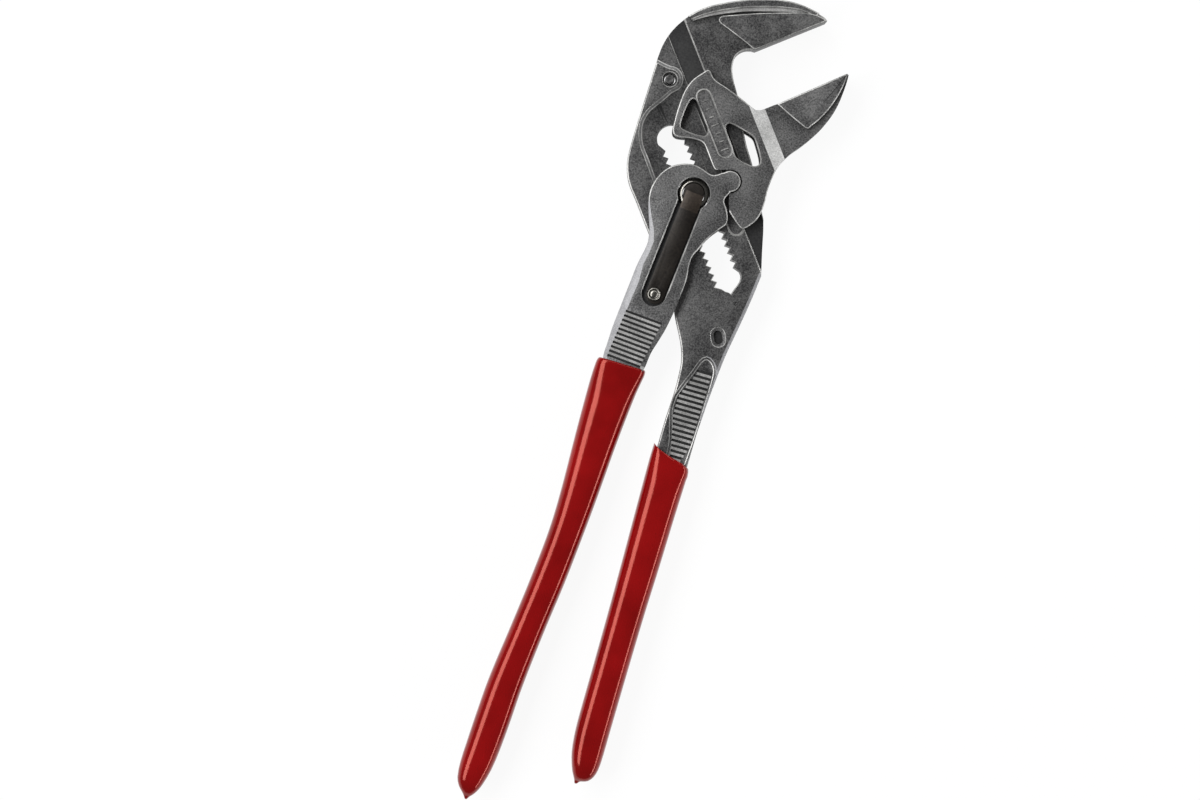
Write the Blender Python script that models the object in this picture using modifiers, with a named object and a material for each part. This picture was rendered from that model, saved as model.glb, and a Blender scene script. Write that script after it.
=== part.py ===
"""Pliers wrench: two levers, a parallel sliding jaw, an adjustable hinge bolt and two dipped grips.

The tool lies flat with its spring side up. +Y runs along the handles towards the jaws, and +X is the
side that the jaws open to. Everything is drawn round the hinge axis, and moved to its place at the end.
"Along" is the direction in which the sliding jaw opens, and "across" points from the slot to the jaw
tips. Outlines are shares of the named sizes beside them.
"""
import math

import bmesh
import bpy
from mathutils import Matrix, Vector

# General clearances and the overrun of every through cut
GAP = 0.0003
OVERRUN = 0.002
WELD = 0.000001
ROUND_SIDES = 40
SMALL_SIDES = 24
RUN_STEPS = 4

# Stack of thicknesses, measured from the middle plane of the tool
PLATE_HALF = 0.0036
CHEEK_THICKNESS = 0.0029
CHEEK_IN = PLATE_HALF + GAP
CHEEK_OUT = CHEEK_IN + CHEEK_THICKNESS
PAD_HALF = 0.0065
JAW_BODY_HALF = 0.0048
EDGE_CHAMFER = 0.0004

# Slide direction: the angle between the toothed slot and the handles
SLIDE_ANGLE = math.radians(37.4)

# Toothed slot
SLOT_PITCH = 0.00244
SLOT_TIP_HALF = 0.00315
SLOT_VALLEY_HALF = 0.0045
SLOT_FIRST_TIP = 0.0157
SLOT_LEFT_TIPS = 19
SLOT_RIGHT_TIPS = 18
SLOT_END_RADIUS = 0.0046
SLOT_TOP_CENTRE = 0.0184
ARC_STEPS = 10

# Slide track for the jaw's ribs
TRACK_INNER = 0.0109
TRACK_WIDTH = 0.00625
TRACK_DEPTH = 0.001

# Fixed jaw lever
HEAD_REACH = 0.0659
SHANK_REACH = 0.0778
BACK_EDGE = 0.0174
BACK_EDGE_TOP = 0.0045
BACK_EDGE_BEND = 0.024
BACK_EDGE_FOOT = 0.033
BACK_EDGE_LEAN = 0.0018
HEAD_TOP_SHARES = [(0.385, 0.965), (0.248, 0.999), (0.101, 0.985), (-0.006, 0.952), (-0.139, 0.891),
                   (-0.232, 0.823), (-0.296, 0.741), (-0.335, 0.639), (-0.340, 0.511), (-0.348, 0.309),
                   (-0.350, 0.171), (-0.343, 0.059), (-0.311, -0.029)]
SHANK_LEFT_SHARES = [(0.112, -0.550), (0.156, -0.632), (0.172, -0.796), (0.164, -0.999)]
SHANK_RIGHT_SHARES = [(0.325, -0.961), (0.337, -0.750), (0.355, -0.587), (0.384, -0.440),
                      (0.414, -0.242)]
HEAD_RIGHT_SHARES = [(0.351, -0.021), (0.226, 0.216), (0.156, 0.323), (0.076, 0.501), (0.032, 0.575)]
HEAD_THROAT_SHARES = [(0.032, 0.575), (0.013, 0.624), (0.010, 0.654), (0.028, 0.704), (0.052, 0.725),
                      (0.096, 0.737)]
TIP_PAD_SHARES = [(-0.111, 0.859), (-0.117, 0.829), (-0.101, 0.811), (0.084, 0.733)]
RIM_WIDTH = 0.002
RIM_VALLEY = 0.0015
RIM_RUN_POINTS = 5
PAD_RUN_POINTS = 3
STOP_PIN_RADIUS = 0.0016
STOP_PIN_DISH_RADIUS = 0.0023
STOP_PIN_DISH_DEPTH = 0.0004
STOP_PIN_ALONG = -0.036
STOP_PIN_ACROSS = 0.0063
POCKET_LENGTH = 0.006
POCKET_WIDTH = 0.0044
POCKET_DEPTH = 0.001
POCKET_ALONG = 0.0443
POCKET_ACROSS = -0.0092

# Rib field on the right shank
RIB_PITCH = 0.00163
RIB_COUNT = 14
RIB_DEPTH = 0.0004
RIB_CUT = 0.0008
RIGHT_RIB_START = 0.0535
RIGHT_RIB_CENTRE = 0.017
RIGHT_RIB_HALF = 0.0038

# Steel tangs inside the grips
TANG_HALF_WIDTH = 0.0033
TANG_HALF = 0.0036
RIGHT_TANG_END = 0.176

# Grips, as dipped sleeves
GRIP_WALL = 0.0018
GRIP_HALF = TANG_HALF + GAP + GRIP_WALL
GRIP_ROUND = 0.0022
GRIP_ROUND_STEPS = 2
RIGHT_GRIP_REACH = 0.187
LEFT_GRIP_REACH = 0.2013
RIGHT_GRIP_SHARES = [(0.052, -0.4185), (0.050, -0.444), (0.052, -0.560), (0.054, -0.700),
                     (0.0545, -0.896), (0.058, -0.950), (0.069, -0.982), (0.082, -0.999),
                     (0.091, -0.992), (0.108, -0.976), (0.112, -0.942), (0.1125, -0.900),
                     (0.114, -0.700), (0.118, -0.520), (0.120, -0.425)]
LEFT_GRIP_SHARES = [(-0.074, -0.2832), (-0.076, -0.320), (-0.072, -0.500), (-0.073, -0.561),
                    (-0.089, -0.718), (-0.100, -0.808), (-0.104, -0.898), (-0.1045, -0.965),
                    (-0.096, -0.988), (-0.083, -0.999), (-0.073, -0.990), (-0.058, -0.953),
                    (-0.050, -0.899), (-0.048, -0.842), (-0.040, -0.745), (-0.025, -0.621),
                    (-0.015, -0.497), (-0.0045, -0.349), (0.0032, -0.2840)]

# Pivot lever
NECK_REACH = 0.0566
HEAD_LEFT_SHARES = [(-0.235, -0.993), (-0.220, -0.722), (-0.191, -0.436), (-0.171, -0.351),
                    (-0.177, -0.269), (-0.235, -0.097), (-0.230, -0.003), (-0.155, 0.116),
                    (-0.099, 0.143), (-0.022, 0.153), (0.054, 0.129), (0.077, 0.127), (0.103, 0.140)]
LOBE_ALONG = 0.0006
LOBE_ACROSS = 0.0119
LOBE_RADIUS = 0.0033
LOBE_START = math.radians(140)
LOBE_TURN = math.radians(-215)
HEAD_UNDER_SHARES = [(0.187, 0.046), (0.171, 0.019), (0.171, 0.006), (0.202, -0.038), (0.218, -0.082),
                     (0.216, -0.113), (0.160, -0.186), (0.110, -0.288), (0.081, -0.371),
                     (0.094, -0.466), (0.074, -0.643), (0.055, -0.761), (0.014, -0.909),
                     (0.000, -1.000)]
WEB_SHARES = [(0.088, 0.0), (0.230, 0.024), (0.477, 0.062), (0.583, 0.092), (0.671, 0.145),
              (0.777, 0.228)]
NECK_TAPER_START = 0.031
NECK_TAPER_END = 0.0555
LEFT_RIB_START = 0.0395
LEFT_RIB_COUNT = 10
LEFT_RIB_PITCH = 0.00147
LEFT_RIB_ANGLE = math.radians(-6)
LEFT_RIB_MIDDLES = (-0.0045, -0.0062)
LEFT_RIB_HALF = 0.0057
NECK_END_HALF = 0.0048
LEFT_TANG_SHARES = [(-0.0353, -0.270), (-0.0427, -0.520), (-0.0621, -0.735), (-0.077, -0.924)]
TROUGH_WIDTH = 0.0076
TROUGH_DEPTH = 0.0019
TROUGH_ANGLE = math.radians(5.8)
TROUGH_LENGTH = 0.0336
HANDLE_CLOSE = math.radians(1)
HANDLE_OPEN = math.radians(20)
SWEEP_STEPS = 6

# Sliding jaw
JAW_REACH = 0.0584
FACE_SHARES = [(-0.296, 0.995), (-0.284, 0.588)]
JAW_THROAT_SHARES = [(-0.284, 0.588), (-0.283, 0.526), (-0.286, 0.483), (-0.304, 0.459),
                     (-0.374, 0.416), (-0.508, 0.334), (-0.562, 0.320), (-0.587, 0.310)]
JAW_LEFT_SHARES = [(-0.587, 0.310), (-0.572, 0.227), (-0.520, 0.145), (-0.437, 0.077),
                   (-0.361, 0.023), (-0.318, 0.021), (-0.292, 0.072), (-0.251, 0.131),
                   (-0.209, 0.149), (-0.108, 0.149), (-0.060, 0.170)]
JAW_MOUTH_SHARES = [(-0.030, 0.160), (0.070, 0.150), (0.126, 0.137)]
JAW_FOOT_SHARES = [(0.126, 0.137), (0.255, 0.161), (0.271, 0.173), (0.264, 0.229), (0.241, 0.279)]
JAW_RIGHT_SHARES = [(0.241, 0.279), (0.171, 0.343), (0.097, 0.401), (0.031, 0.480), (-0.011, 0.562),
                    (-0.046, 0.690), (-0.113, 0.833), (-0.214, 0.947), (-0.287, 1.000),
                    (-0.296, 0.995)]
JAW_PAD_SHARES = [(-0.281, 0.587), (-0.102, 0.683)]
SMALL_WINDOW_SHARES = [(-0.465, 0.180), (-0.459, 0.156), (-0.376, 0.075), (-0.345, 0.076),
                       (-0.272, 0.162), (-0.277, 0.181), (-0.304, 0.192), (-0.436, 0.191)]
LARGE_WINDOW_SHARES = [(-0.277, 0.301), (-0.273, 0.317), (-0.183, 0.392), (-0.163, 0.402),
                       (-0.038, 0.392), (-0.024, 0.383), (-0.023, 0.360), (-0.034, 0.342),
                       (-0.086, 0.293), (-0.111, 0.285), (-0.264, 0.288)]
JAW_WALL = 0.0256
JAW_WALL_SHARES = [(-1.0, 0.120), (-0.400, 0.120), (-0.300, 0.080), (-0.253, 0.040), (-0.205, 0.0)]
JAW_PAD_FIRST = 7
RAMP_TOP = 0.026
RAMP_FOOT = 0.0304
SOCKET_CLEARANCE = 0.0004
LABEL_WIDTH = 0.0045
LABEL_DEPTH = 0.0003
LABEL_TOP_SHARE = -0.490
LABEL_FOOT_SHARE = -0.125
LABEL_ACROSS_SHARE = 0.240

# Hinge bolt, locking pin and push button
BOLT_RADIUS = 0.00484
BOLT_FLAT_HALF = SLOT_TIP_HALF - GAP
BOLT_TOP = 0.0056
BOLT_FOOT = 0.0064
BOLT_CHAMFER = 0.0009
PIN_RADIUS = 0.0016
PIN_HEAD_RADIUS = 0.0032
PIN_HEAD_THICKNESS = 0.0011
BUTTON_RADIUS = 0.0032
BUTTON_PROUD = 0.0012
BUTTON_THICKNESS = 0.0019
BUTTON_TRAVEL = 0.002
BUTTON_SOCKET = 0.0011
BUTTON_CHAMFER = 0.0004

# Leaf spring and its rivet
LEAF_WIDTH = 0.0058
LEAF_THICKNESS = 0.0008
LEAF_OFFSET = 0.0004
LEAF_TOP_END = -0.0003
LEAF_JOGGLE = 0.0007
LEAF_JOGGLE_START = 0.0055
LEAF_JOGGLE_END = 0.0072
RIVET_SHANK_RADIUS = 0.001
RIVET_HEAD_RADIUS = 0.00215
RIVET_HEAD_HEIGHT = 0.0006
RIVET_DOME_RADIUS = 0.0013
RIVET_DOME_HEIGHT = 0.0003
RIVET_DEPTH = 0.0025


def slide_point(along, across):
    """A place given along the slide and across it, as X and Y."""
    sine = math.sin(SLIDE_ANGLE)
    cosine = math.cos(SLIDE_ANGLE)
    return (along * sine + across * cosine, across * sine - along * cosine)


def scaled(shares, across_size, down_size, up_size):
    """Shares as X and Y: X follows one size, and Y has one size above the hinge and one below it."""
    return [(x * across_size, y * (up_size if y > 0 else down_size)) for x, y in shares]


def slid(shares, size):
    """Shares along and across the slide, as X and Y."""
    return [slide_point(along * size, across * size) for along, across in shares]


def smooth_run(points):
    """Points on a smooth curve through the given ones, without the last."""
    if len(points) == 2:
        return [points[0]]
    places = [Vector(point) for point in points]
    places = [2 * places[0] - places[1]] + places + [2 * places[-1] - places[-2]]
    result = []
    for index in range(1, len(places) - 2):
        before, start, end, after = places[index - 1:index + 3]
        for step in range(RUN_STEPS):
            t = step / RUN_STEPS
            result.append(0.5 * (2 * start + (end - before) * t
                                 + (2 * before - 5 * start + 4 * end - after) * t ** 2
                                 + (3 * start - before - 3 * end + after) * t ** 3))
    return [tuple(point) for point in result]


def arc(centre, radius, start, turn, steps):
    """Points round part of a circle, with both ends."""
    return [(centre[0] + radius * math.cos(start + turn * step / steps),
             centre[1] + radius * math.sin(start + turn * step / steps)) for step in range(steps + 1)]


def turned(points, angle):
    """Points turned round the hinge axis."""
    return [(x * math.cos(angle) - y * math.sin(angle), x * math.sin(angle) + y * math.cos(angle))
            for x, y in points]


def moved(points, along):
    """Points moved along the slide."""
    shift = slide_point(along, 0)
    return [(x + shift[0], y + shift[1]) for x, y in points]


def grown(points, distance):
    """An outline with every side pushed outwards, or inwards where the distance is negative."""
    places = [Vector(point) for point in points]
    area = sum(a.cross(b) for a, b in zip(places, places[1:] + places[:1]))
    outward = -distance if area > 0 else distance
    result = []
    for index, place in enumerate(places):
        before = (place - places[index - 1]).normalized()
        after = (places[(index + 1) % len(places)] - place).normalized()
        normal = Vector((-before.y - after.y, before.x + after.x)).normalized()
        result.append(tuple(place + normal * outward))
    return result


def plate(name, points, low, high, group):
    """A flat outline made solid between two heights."""
    curve = bpy.data.curves.new(name, "CURVE")
    curve.dimensions = "2D"
    curve.fill_mode = "BOTH"
    curve.extrude = (high - low) / 2
    spline = curve.splines.new("POLY")
    spline.points.add(len(points) - 1)
    for point, place in zip(spline.points, points):
        point.co = (place[0], place[1], 0, 1)
    spline.use_cyclic_u = True
    drawn = bpy.data.objects.new(name + "_outline", curve)
    bpy.context.scene.collection.objects.link(drawn)
    drawn.location.z = (high + low) / 2
    bpy.context.view_layer.update()
    evaluated = drawn.evaluated_get(bpy.context.evaluated_depsgraph_get())
    mesh = bpy.data.meshes.new_from_object(evaluated)
    mesh.name = name
    solid = bmesh.new()
    solid.from_mesh(mesh)
    bmesh.ops.remove_doubles(solid, verts=solid.verts, dist=WELD)
    bmesh.ops.transform(solid, matrix=drawn.matrix_world, verts=solid.verts)
    bmesh.ops.recalc_face_normals(solid, faces=solid.faces)
    solid.to_mesh(mesh)
    solid.free()
    bpy.data.objects.remove(drawn)
    bpy.data.curves.remove(curve)
    return place_mesh(name, mesh, group)


def drum(name, centre, radius, low, high, group, sides=ROUND_SIDES, top_radius=None):
    """A round solid on an upright axis."""
    mesh = bpy.data.meshes.new(name)
    solid = bmesh.new()
    bmesh.ops.create_cone(solid, cap_ends=True, segments=sides, radius1=radius,
                          radius2=radius if top_radius is None else top_radius, depth=high - low)
    bmesh.ops.translate(solid, verts=solid.verts, vec=(centre[0], centre[1], (high + low) / 2))
    solid.to_mesh(mesh)
    solid.free()
    return place_mesh(name, mesh, group)


def place_mesh(name, mesh, group):
    """An object for a mesh that is drawn round the hinge axis."""
    item = bpy.data.objects.new(name, mesh)
    group.objects.link(item)
    item.parent = origin
    if group is cutters:
        item.hide_render = True
        item.display_type = "WIRE"
    return item


def change(item, other, operation):
    """A Boolean of one object with another."""
    step = item.modifiers.new(operation.lower() + "_" + other.name, "BOOLEAN")
    step.operation = operation
    step.solver = "EXACT"
    step.object = other


def cut(item, other):
    change(item, other, "DIFFERENCE")


def join(item, other):
    change(item, other, "UNION")


def chamfer(item, width, segments=1):
    """Broken edges all round a plain plate or drum."""
    step = item.modifiers.new("edge_chamfer", "BEVEL")
    step.width = width
    step.segments = segments
    step.use_clamp_overlap = False
    step.limit_method = "ANGLE"
    step.angle_limit = math.radians(55)


def colour(item, shade, metallic, roughness):
    """The piece's own material."""
    material = bpy.data.materials.new(item.name + "_finish")
    material.use_nodes = True
    shader = material.node_tree.nodes["Principled BSDF"]
    shader.inputs["Base Color"].default_value = (*shade, 1)
    shader.inputs["Metallic"].default_value = metallic
    shader.inputs["Roughness"].default_value = roughness
    item.data.materials.clear()
    item.data.materials.append(material)


def prism(name, points, low, high, first, second, group):
    """A side profile drawn on two directions and made solid along the third."""
    item = plate(name, points, low, high, group)
    third = first.cross(second)
    item.data.transform(Matrix((first, second, third)).transposed().to_4x4())
    return item


def both_faces(name, points, inner, outer):
    """Two equal plates, one over each face of the tool."""
    return [plate(name + "_upper", points, inner, outer, cutters),
            plate(name + "_lower", points, -outer, -inner, cutters)]


def comb(name, middle, half_width, start, pitch, count, heights, angle):
    """The grooves between ribs across a handle, on both faces."""
    mesh = bpy.data.meshes.new(name)
    solid = bmesh.new()
    for index in range(count):
        share = index / (count - 1)
        surface = heights[0] + (heights[1] - heights[0]) * share
        for side in (-1, 1):
            made = bmesh.ops.create_cube(solid, size=1)["verts"]
            size = (2 * half_width, RIB_CUT, 2 * RIB_DEPTH)
            bmesh.ops.scale(solid, verts=made, vec=size)
            bmesh.ops.rotate(solid, verts=made, matrix=Matrix.Rotation(angle, 3, "Z"))
            place = (middle[0] + (middle[1] - middle[0]) * share, -start - pitch * index, side * surface)
            bmesh.ops.translate(solid, verts=made, vec=place)
    solid.to_mesh(mesh)
    solid.free()
    return place_mesh(name, mesh, cutters)


def strip(start, end, half_width):
    """The corners of a straight strip between two places."""
    way = (Vector(end) - Vector(start)).normalized() * half_width
    side = Vector((-way.y, way.x))
    return [tuple(Vector(place) + side * turn) for place, turn in
            ((start, 1), (start, -1), (end, -1), (end, 1))]


for old in list(bpy.data.objects):
    bpy.data.objects.remove(old)

parts = bpy.data.collections.new("pliers_wrench")
cutters = bpy.data.collections.new("cutters")
bpy.context.scene.collection.children.link(parts)
bpy.context.scene.collection.children.link(cutters)
origin = bpy.data.objects.new("hinge_axis", None)
parts.objects.link(origin)

STEEL = {"shade": (0.10, 0.10, 0.11), "metallic": 0.9, "roughness": 0.45}
BRIGHT = {"shade": (0.62, 0.62, 0.60), "metallic": 1.0, "roughness": 0.2}
SPRING_DARK = {"shade": (0.025, 0.022, 0.020), "metallic": 0.8, "roughness": 0.4}
GRIP_RED = {"shade": (0.16, 0.012, 0.022), "metallic": 0.0, "roughness": 0.3}
UP = Vector((0, 0, 1))
DOWN_HANDLE = Vector((0, -1, 0))
ACROSS = Vector((*slide_point(0, 1), 0))

# Fixed jaw lever: the plate with its jaw, back edge, shank and tang
head_top = scaled(HEAD_TOP_SHARES, HEAD_REACH, HEAD_REACH, HEAD_REACH)
back_top = slide_point(-BACK_EDGE_TOP, -BACK_EDGE)
back_bend = slide_point(BACK_EDGE_BEND, -BACK_EDGE)
back_foot = slide_point(BACK_EDGE_FOOT, -BACK_EDGE - BACK_EDGE_LEAN)
shank_left = scaled(SHANK_LEFT_SHARES, HEAD_REACH, SHANK_REACH, HEAD_REACH)
shank_right = scaled(SHANK_RIGHT_SHARES, HEAD_REACH, SHANK_REACH, HEAD_REACH)
head_right = scaled(HEAD_RIGHT_SHARES, HEAD_REACH, HEAD_REACH, HEAD_REACH)
throat = scaled(HEAD_THROAT_SHARES, HEAD_REACH, HEAD_REACH, HEAD_REACH)
right_tang_middle = (shank_left[-1][0] + shank_right[0][0]) / 2
top_run = smooth_run(head_top + [back_top])
lever_outline = (top_run + [back_top] + smooth_run([back_bend, back_foot] + shank_left) + [shank_left[-1]]
                 + smooth_run(shank_right) + [shank_right[-1]]
                 + smooth_run(head_right) + smooth_run(throat) + [throat[-1]])
fixed_jaw_lever = plate("fixed_jaw_lever", lever_outline, -PLATE_HALF, PLATE_HALF, parts)
join(fixed_jaw_lever, plate("right_tang", strip((right_tang_middle, -SHANK_REACH + OVERRUN),
                                                (right_tang_middle, -RIGHT_TANG_END), TANG_HALF_WIDTH),
                            -TANG_HALF, TANG_HALF, cutters))

# Raised rim along the jaw's top, and the raised pad beside the gripping face
rim_inset = grown(lever_outline, -RIM_WIDTH)
rim_count = RUN_STEPS * RIM_RUN_POINTS
rim = lever_outline[1:rim_count] + rim_inset[1:rim_count][::-1]
join(fixed_jaw_lever, plate("fixed_jaw_rim", rim, -PAD_HALF, PAD_HALF, cutters))
pad_inset = grown(lever_outline, -RIM_WIDTH - RIM_VALLEY)
pad = ([lever_outline[0]] + pad_inset[2:RUN_STEPS * PAD_RUN_POINTS]
       + scaled(TIP_PAD_SHARES, HEAD_REACH, HEAD_REACH, HEAD_REACH) + [throat[-1]])
join(fixed_jaw_lever, plate("fixed_jaw_pad", pad, -PAD_HALF, PAD_HALF, cutters))

# Slide track, cut in both faces of the lever
track_outer = TRACK_INNER + TRACK_WIDTH
track = [slide_point(-HEAD_REACH, TRACK_INNER), slide_point(-HEAD_REACH, track_outer),
         slide_point(HEAD_REACH, track_outer), slide_point(HEAD_REACH, TRACK_INNER)]
for face in both_faces("slide_track", track, PLATE_HALF - TRACK_DEPTH, PLATE_HALF + OVERRUN):
    cut(fixed_jaw_lever, face)

# Toothed slot
last_left = (SLOT_LEFT_TIPS - 1) * SLOT_PITCH - SLOT_FIRST_TIP
slot = [slide_point(-SLOT_TOP_CENTRE - SLOT_END_RADIUS * math.sin(angle), -SLOT_END_RADIUS * math.cos(angle))
        for angle in (math.pi * step / ARC_STEPS for step in range(ARC_STEPS + 1))]
for index in range(SLOT_RIGHT_TIPS):
    tip = index * SLOT_PITCH - SLOT_FIRST_TIP
    slot.append(slide_point(tip, SLOT_TIP_HALF))
    slot.append(slide_point(tip + SLOT_PITCH / 2, SLOT_VALLEY_HALF))
foot_centre = last_left + SLOT_PITCH / 2
slot += [slide_point(foot_centre + SLOT_VALLEY_HALF * math.sin(angle), SLOT_VALLEY_HALF * math.cos(angle))
         for angle in (math.pi * step / ARC_STEPS for step in range(ARC_STEPS + 1))]
for index in reversed(range(SLOT_LEFT_TIPS)):
    tip = index * SLOT_PITCH - SLOT_FIRST_TIP
    slot.append(slide_point(tip, -SLOT_TIP_HALF))
    if index:
        slot.append(slide_point(tip - SLOT_PITCH / 2, -SLOT_VALLEY_HALF))
cut(fixed_jaw_lever, plate("toothed_slot", slot, -PLATE_HALF - OVERRUN, PLATE_HALF + OVERRUN, cutters))

# Stop pin in its dished hole
pin_place = slide_point(STOP_PIN_ALONG, STOP_PIN_ACROSS)
cut(fixed_jaw_lever, drum("stop_pin_hole", pin_place, STOP_PIN_RADIUS + GAP, -PLATE_HALF - OVERRUN,
                          PLATE_HALF + OVERRUN, cutters, SMALL_SIDES))
for side in (-1, 1):
    dish = sorted((side * (PLATE_HALF - STOP_PIN_DISH_DEPTH), side * (PLATE_HALF + OVERRUN)))
    cut(fixed_jaw_lever, drum("stop_pin_dish", pin_place, STOP_PIN_DISH_RADIUS, *dish, cutters, SMALL_SIDES))
stop_pin_half = PLATE_HALF - STOP_PIN_DISH_DEPTH
stop_pin = drum("stop_pin", pin_place, STOP_PIN_RADIUS, -stop_pin_half, stop_pin_half, parts, SMALL_SIDES)

# Oval pocket and the ribs on the right shank
pocket_place = Vector(slide_point(POCKET_ALONG, POCKET_ACROSS))
pocket_reach = Vector((0, (POCKET_LENGTH - POCKET_WIDTH) / 2))
pocket = (arc(pocket_place + pocket_reach, POCKET_WIDTH / 2, 0, math.pi, ARC_STEPS)
          + arc(pocket_place - pocket_reach, POCKET_WIDTH / 2, math.pi, math.pi, ARC_STEPS))
for face in both_faces("oval_pocket", pocket, PLATE_HALF - POCKET_DEPTH, PLATE_HALF + OVERRUN):
    cut(fixed_jaw_lever, face)
cut(fixed_jaw_lever, comb("right_shank_ribs", (RIGHT_RIB_CENTRE, RIGHT_RIB_CENTRE), RIGHT_RIB_HALF,
                          RIGHT_RIB_START, RIB_PITCH, RIB_COUNT, (PLATE_HALF, PLATE_HALF), 0))

# Pivot lever: two cheeks, the web between them, the lobe, the neck and the tang
neck_left = scaled(HEAD_LEFT_SHARES, NECK_REACH, NECK_REACH, NECK_REACH)
neck_right = scaled(HEAD_UNDER_SHARES, NECK_REACH, NECK_REACH, NECK_REACH)
lobe = arc(slide_point(LOBE_ALONG, LOBE_ACROSS), LOBE_RADIUS, LOBE_START, LOBE_TURN, ARC_STEPS)
pivot_outline = (smooth_run(neck_left) + [neck_left[-1]] + lobe + smooth_run(neck_right)
                 + [neck_right[-1]])
pivot_lever = plate("pivot_lever", pivot_outline, -CHEEK_OUT, CHEEK_OUT, parts)
chamfer(pivot_lever, EDGE_CHAMFER)
taper = [(NECK_TAPER_START, CHEEK_OUT), (NECK_TAPER_END, NECK_END_HALF),
         (NECK_TAPER_END + OVERRUN, NECK_END_HALF), (NECK_TAPER_END + OVERRUN, CHEEK_OUT + OVERRUN),
         (NECK_TAPER_START, CHEEK_OUT + OVERRUN)]
for side in (-1, 1):
    profile = [(down, side * height) for down, height in taper]
    cut(pivot_lever, prism("neck_taper", profile, -NECK_REACH, NECK_REACH, DOWN_HANDLE, UP, cutters))
left_tang = [Vector(place) for place in scaled(LEFT_TANG_SHARES, LEFT_GRIP_REACH, LEFT_GRIP_REACH,
                                               LEFT_GRIP_REACH)]
half_tang = Vector((TANG_HALF_WIDTH, 0))
left_tang_outline = ([tuple(place - half_tang) for place in left_tang]
                     + [tuple(place + half_tang) for place in reversed(left_tang)])
join(pivot_lever, plate("left_tang", left_tang_outline, -TANG_HALF, TANG_HALF, cutters))
web_line = [slide_point(along * NECK_REACH, -BACK_EDGE - 2 * GAP - lean * NECK_REACH)
            for along, lean in WEB_SHARES]
box_gap = ([slide_point(-NECK_REACH, -BACK_EDGE - 2 * GAP)] + web_line
           + [slide_point(WEB_SHARES[-1][0] * NECK_REACH, NECK_REACH), slide_point(-NECK_REACH, NECK_REACH)])
cut(pivot_lever, plate("box_joint_gap", box_gap, -CHEEK_IN, CHEEK_IN, cutters))
cut(pivot_lever, drum("bolt_hole", (0, 0), BOLT_RADIUS + GAP, -CHEEK_OUT - OVERRUN,
                      CHEEK_OUT + OVERRUN, cutters))

# Trough for the leaf spring, along its own direction from the bolt
trough_way = Vector((-math.sin(TROUGH_ANGLE), -math.cos(TROUGH_ANGLE)))
trough_end = trough_way * TROUGH_LENGTH
trough_floor = CHEEK_OUT - TROUGH_DEPTH
cut(pivot_lever, plate("spring_trough", strip((0, 0), trough_end, TROUGH_WIDTH / 2), trough_floor,
                       CHEEK_OUT + OVERRUN, cutters))
cut(pivot_lever, drum("spring_trough_end", trough_end, TROUGH_WIDTH / 2, trough_floor,
                      CHEEK_OUT + OVERRUN, cutters))
cut(pivot_lever, drum("rivet_hole", trough_end, RIVET_SHANK_RADIUS + GAP, trough_floor - RIVET_DEPTH,
                      CHEEK_OUT, cutters, SMALL_SIDES))
slope = (CHEEK_OUT - NECK_END_HALF) / (NECK_TAPER_END - NECK_TAPER_START)
left_rib_end = LEFT_RIB_START + LEFT_RIB_PITCH * (LEFT_RIB_COUNT - 1)
rib_heights = [CHEEK_OUT - slope * (down - NECK_TAPER_START) for down in (LEFT_RIB_START, left_rib_end)]
cut(pivot_lever, comb("neck_ribs", LEFT_RIB_MIDDLES, LEFT_RIB_HALF, LEFT_RIB_START, LEFT_RIB_PITCH,
                      LEFT_RIB_COUNT, rib_heights, LEFT_RIB_ANGLE))

# Leaf spring: a side profile with its joggle, trimmed to its outline
leaf_low = trough_floor + GAP
profile = [(LEAF_TOP_END, leaf_low + LEAF_JOGGLE), (LEAF_JOGGLE_START, leaf_low + LEAF_JOGGLE),
           (LEAF_JOGGLE_END, leaf_low), (TROUGH_LENGTH + LEAF_WIDTH, leaf_low)]
profile += [(along, height + LEAF_THICKNESS) for along, height in reversed(profile)]
trough_side = Vector((*trough_way, 0)).cross(UP)
leaf_spring = prism("leaf_spring", profile, -LEAF_WIDTH, LEAF_WIDTH, Vector((*trough_way, 0)), UP, parts)
leaf_shift = Vector((-trough_side.x, -trough_side.y)) * LEAF_OFFSET
leaf_outline = strip(trough_way * LEAF_TOP_END + leaf_shift, trough_end + leaf_shift, LEAF_WIDTH / 2)
leaf_trim = plate("leaf_outline", leaf_outline, leaf_low - OVERRUN, CHEEK_OUT + OVERRUN, cutters)
join(leaf_trim, drum("leaf_round_end", trough_end + leaf_shift, LEAF_WIDTH / 2, leaf_low - OVERRUN,
                     CHEEK_OUT + OVERRUN, cutters))
change(leaf_spring, leaf_trim, "INTERSECT")
cut(leaf_spring, drum("leaf_rivet_hole", trough_end, RIVET_SHANK_RADIUS + GAP, leaf_low - OVERRUN,
                      CHEEK_OUT + OVERRUN, cutters, SMALL_SIDES))
rivet_seat = leaf_low + LEAF_THICKNESS + GAP
spring_rivet = drum("spring_rivet", trough_end, RIVET_HEAD_RADIUS, rivet_seat,
                    rivet_seat + RIVET_HEAD_HEIGHT, parts, SMALL_SIDES)
join(spring_rivet, drum("rivet_dome", trough_end, RIVET_DOME_RADIUS, rivet_seat + RIVET_HEAD_HEIGHT / 2,
                        rivet_seat + RIVET_HEAD_HEIGHT + RIVET_DOME_HEIGHT, cutters, SMALL_SIDES,
                        RIVET_DOME_RADIUS - RIVET_DOME_HEIGHT))
join(spring_rivet, drum("rivet_shank", trough_end, RIVET_SHANK_RADIUS, trough_floor - RIVET_DEPTH + GAP,
                        rivet_seat + RIVET_HEAD_HEIGHT / 2, cutters, SMALL_SIDES))

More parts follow.
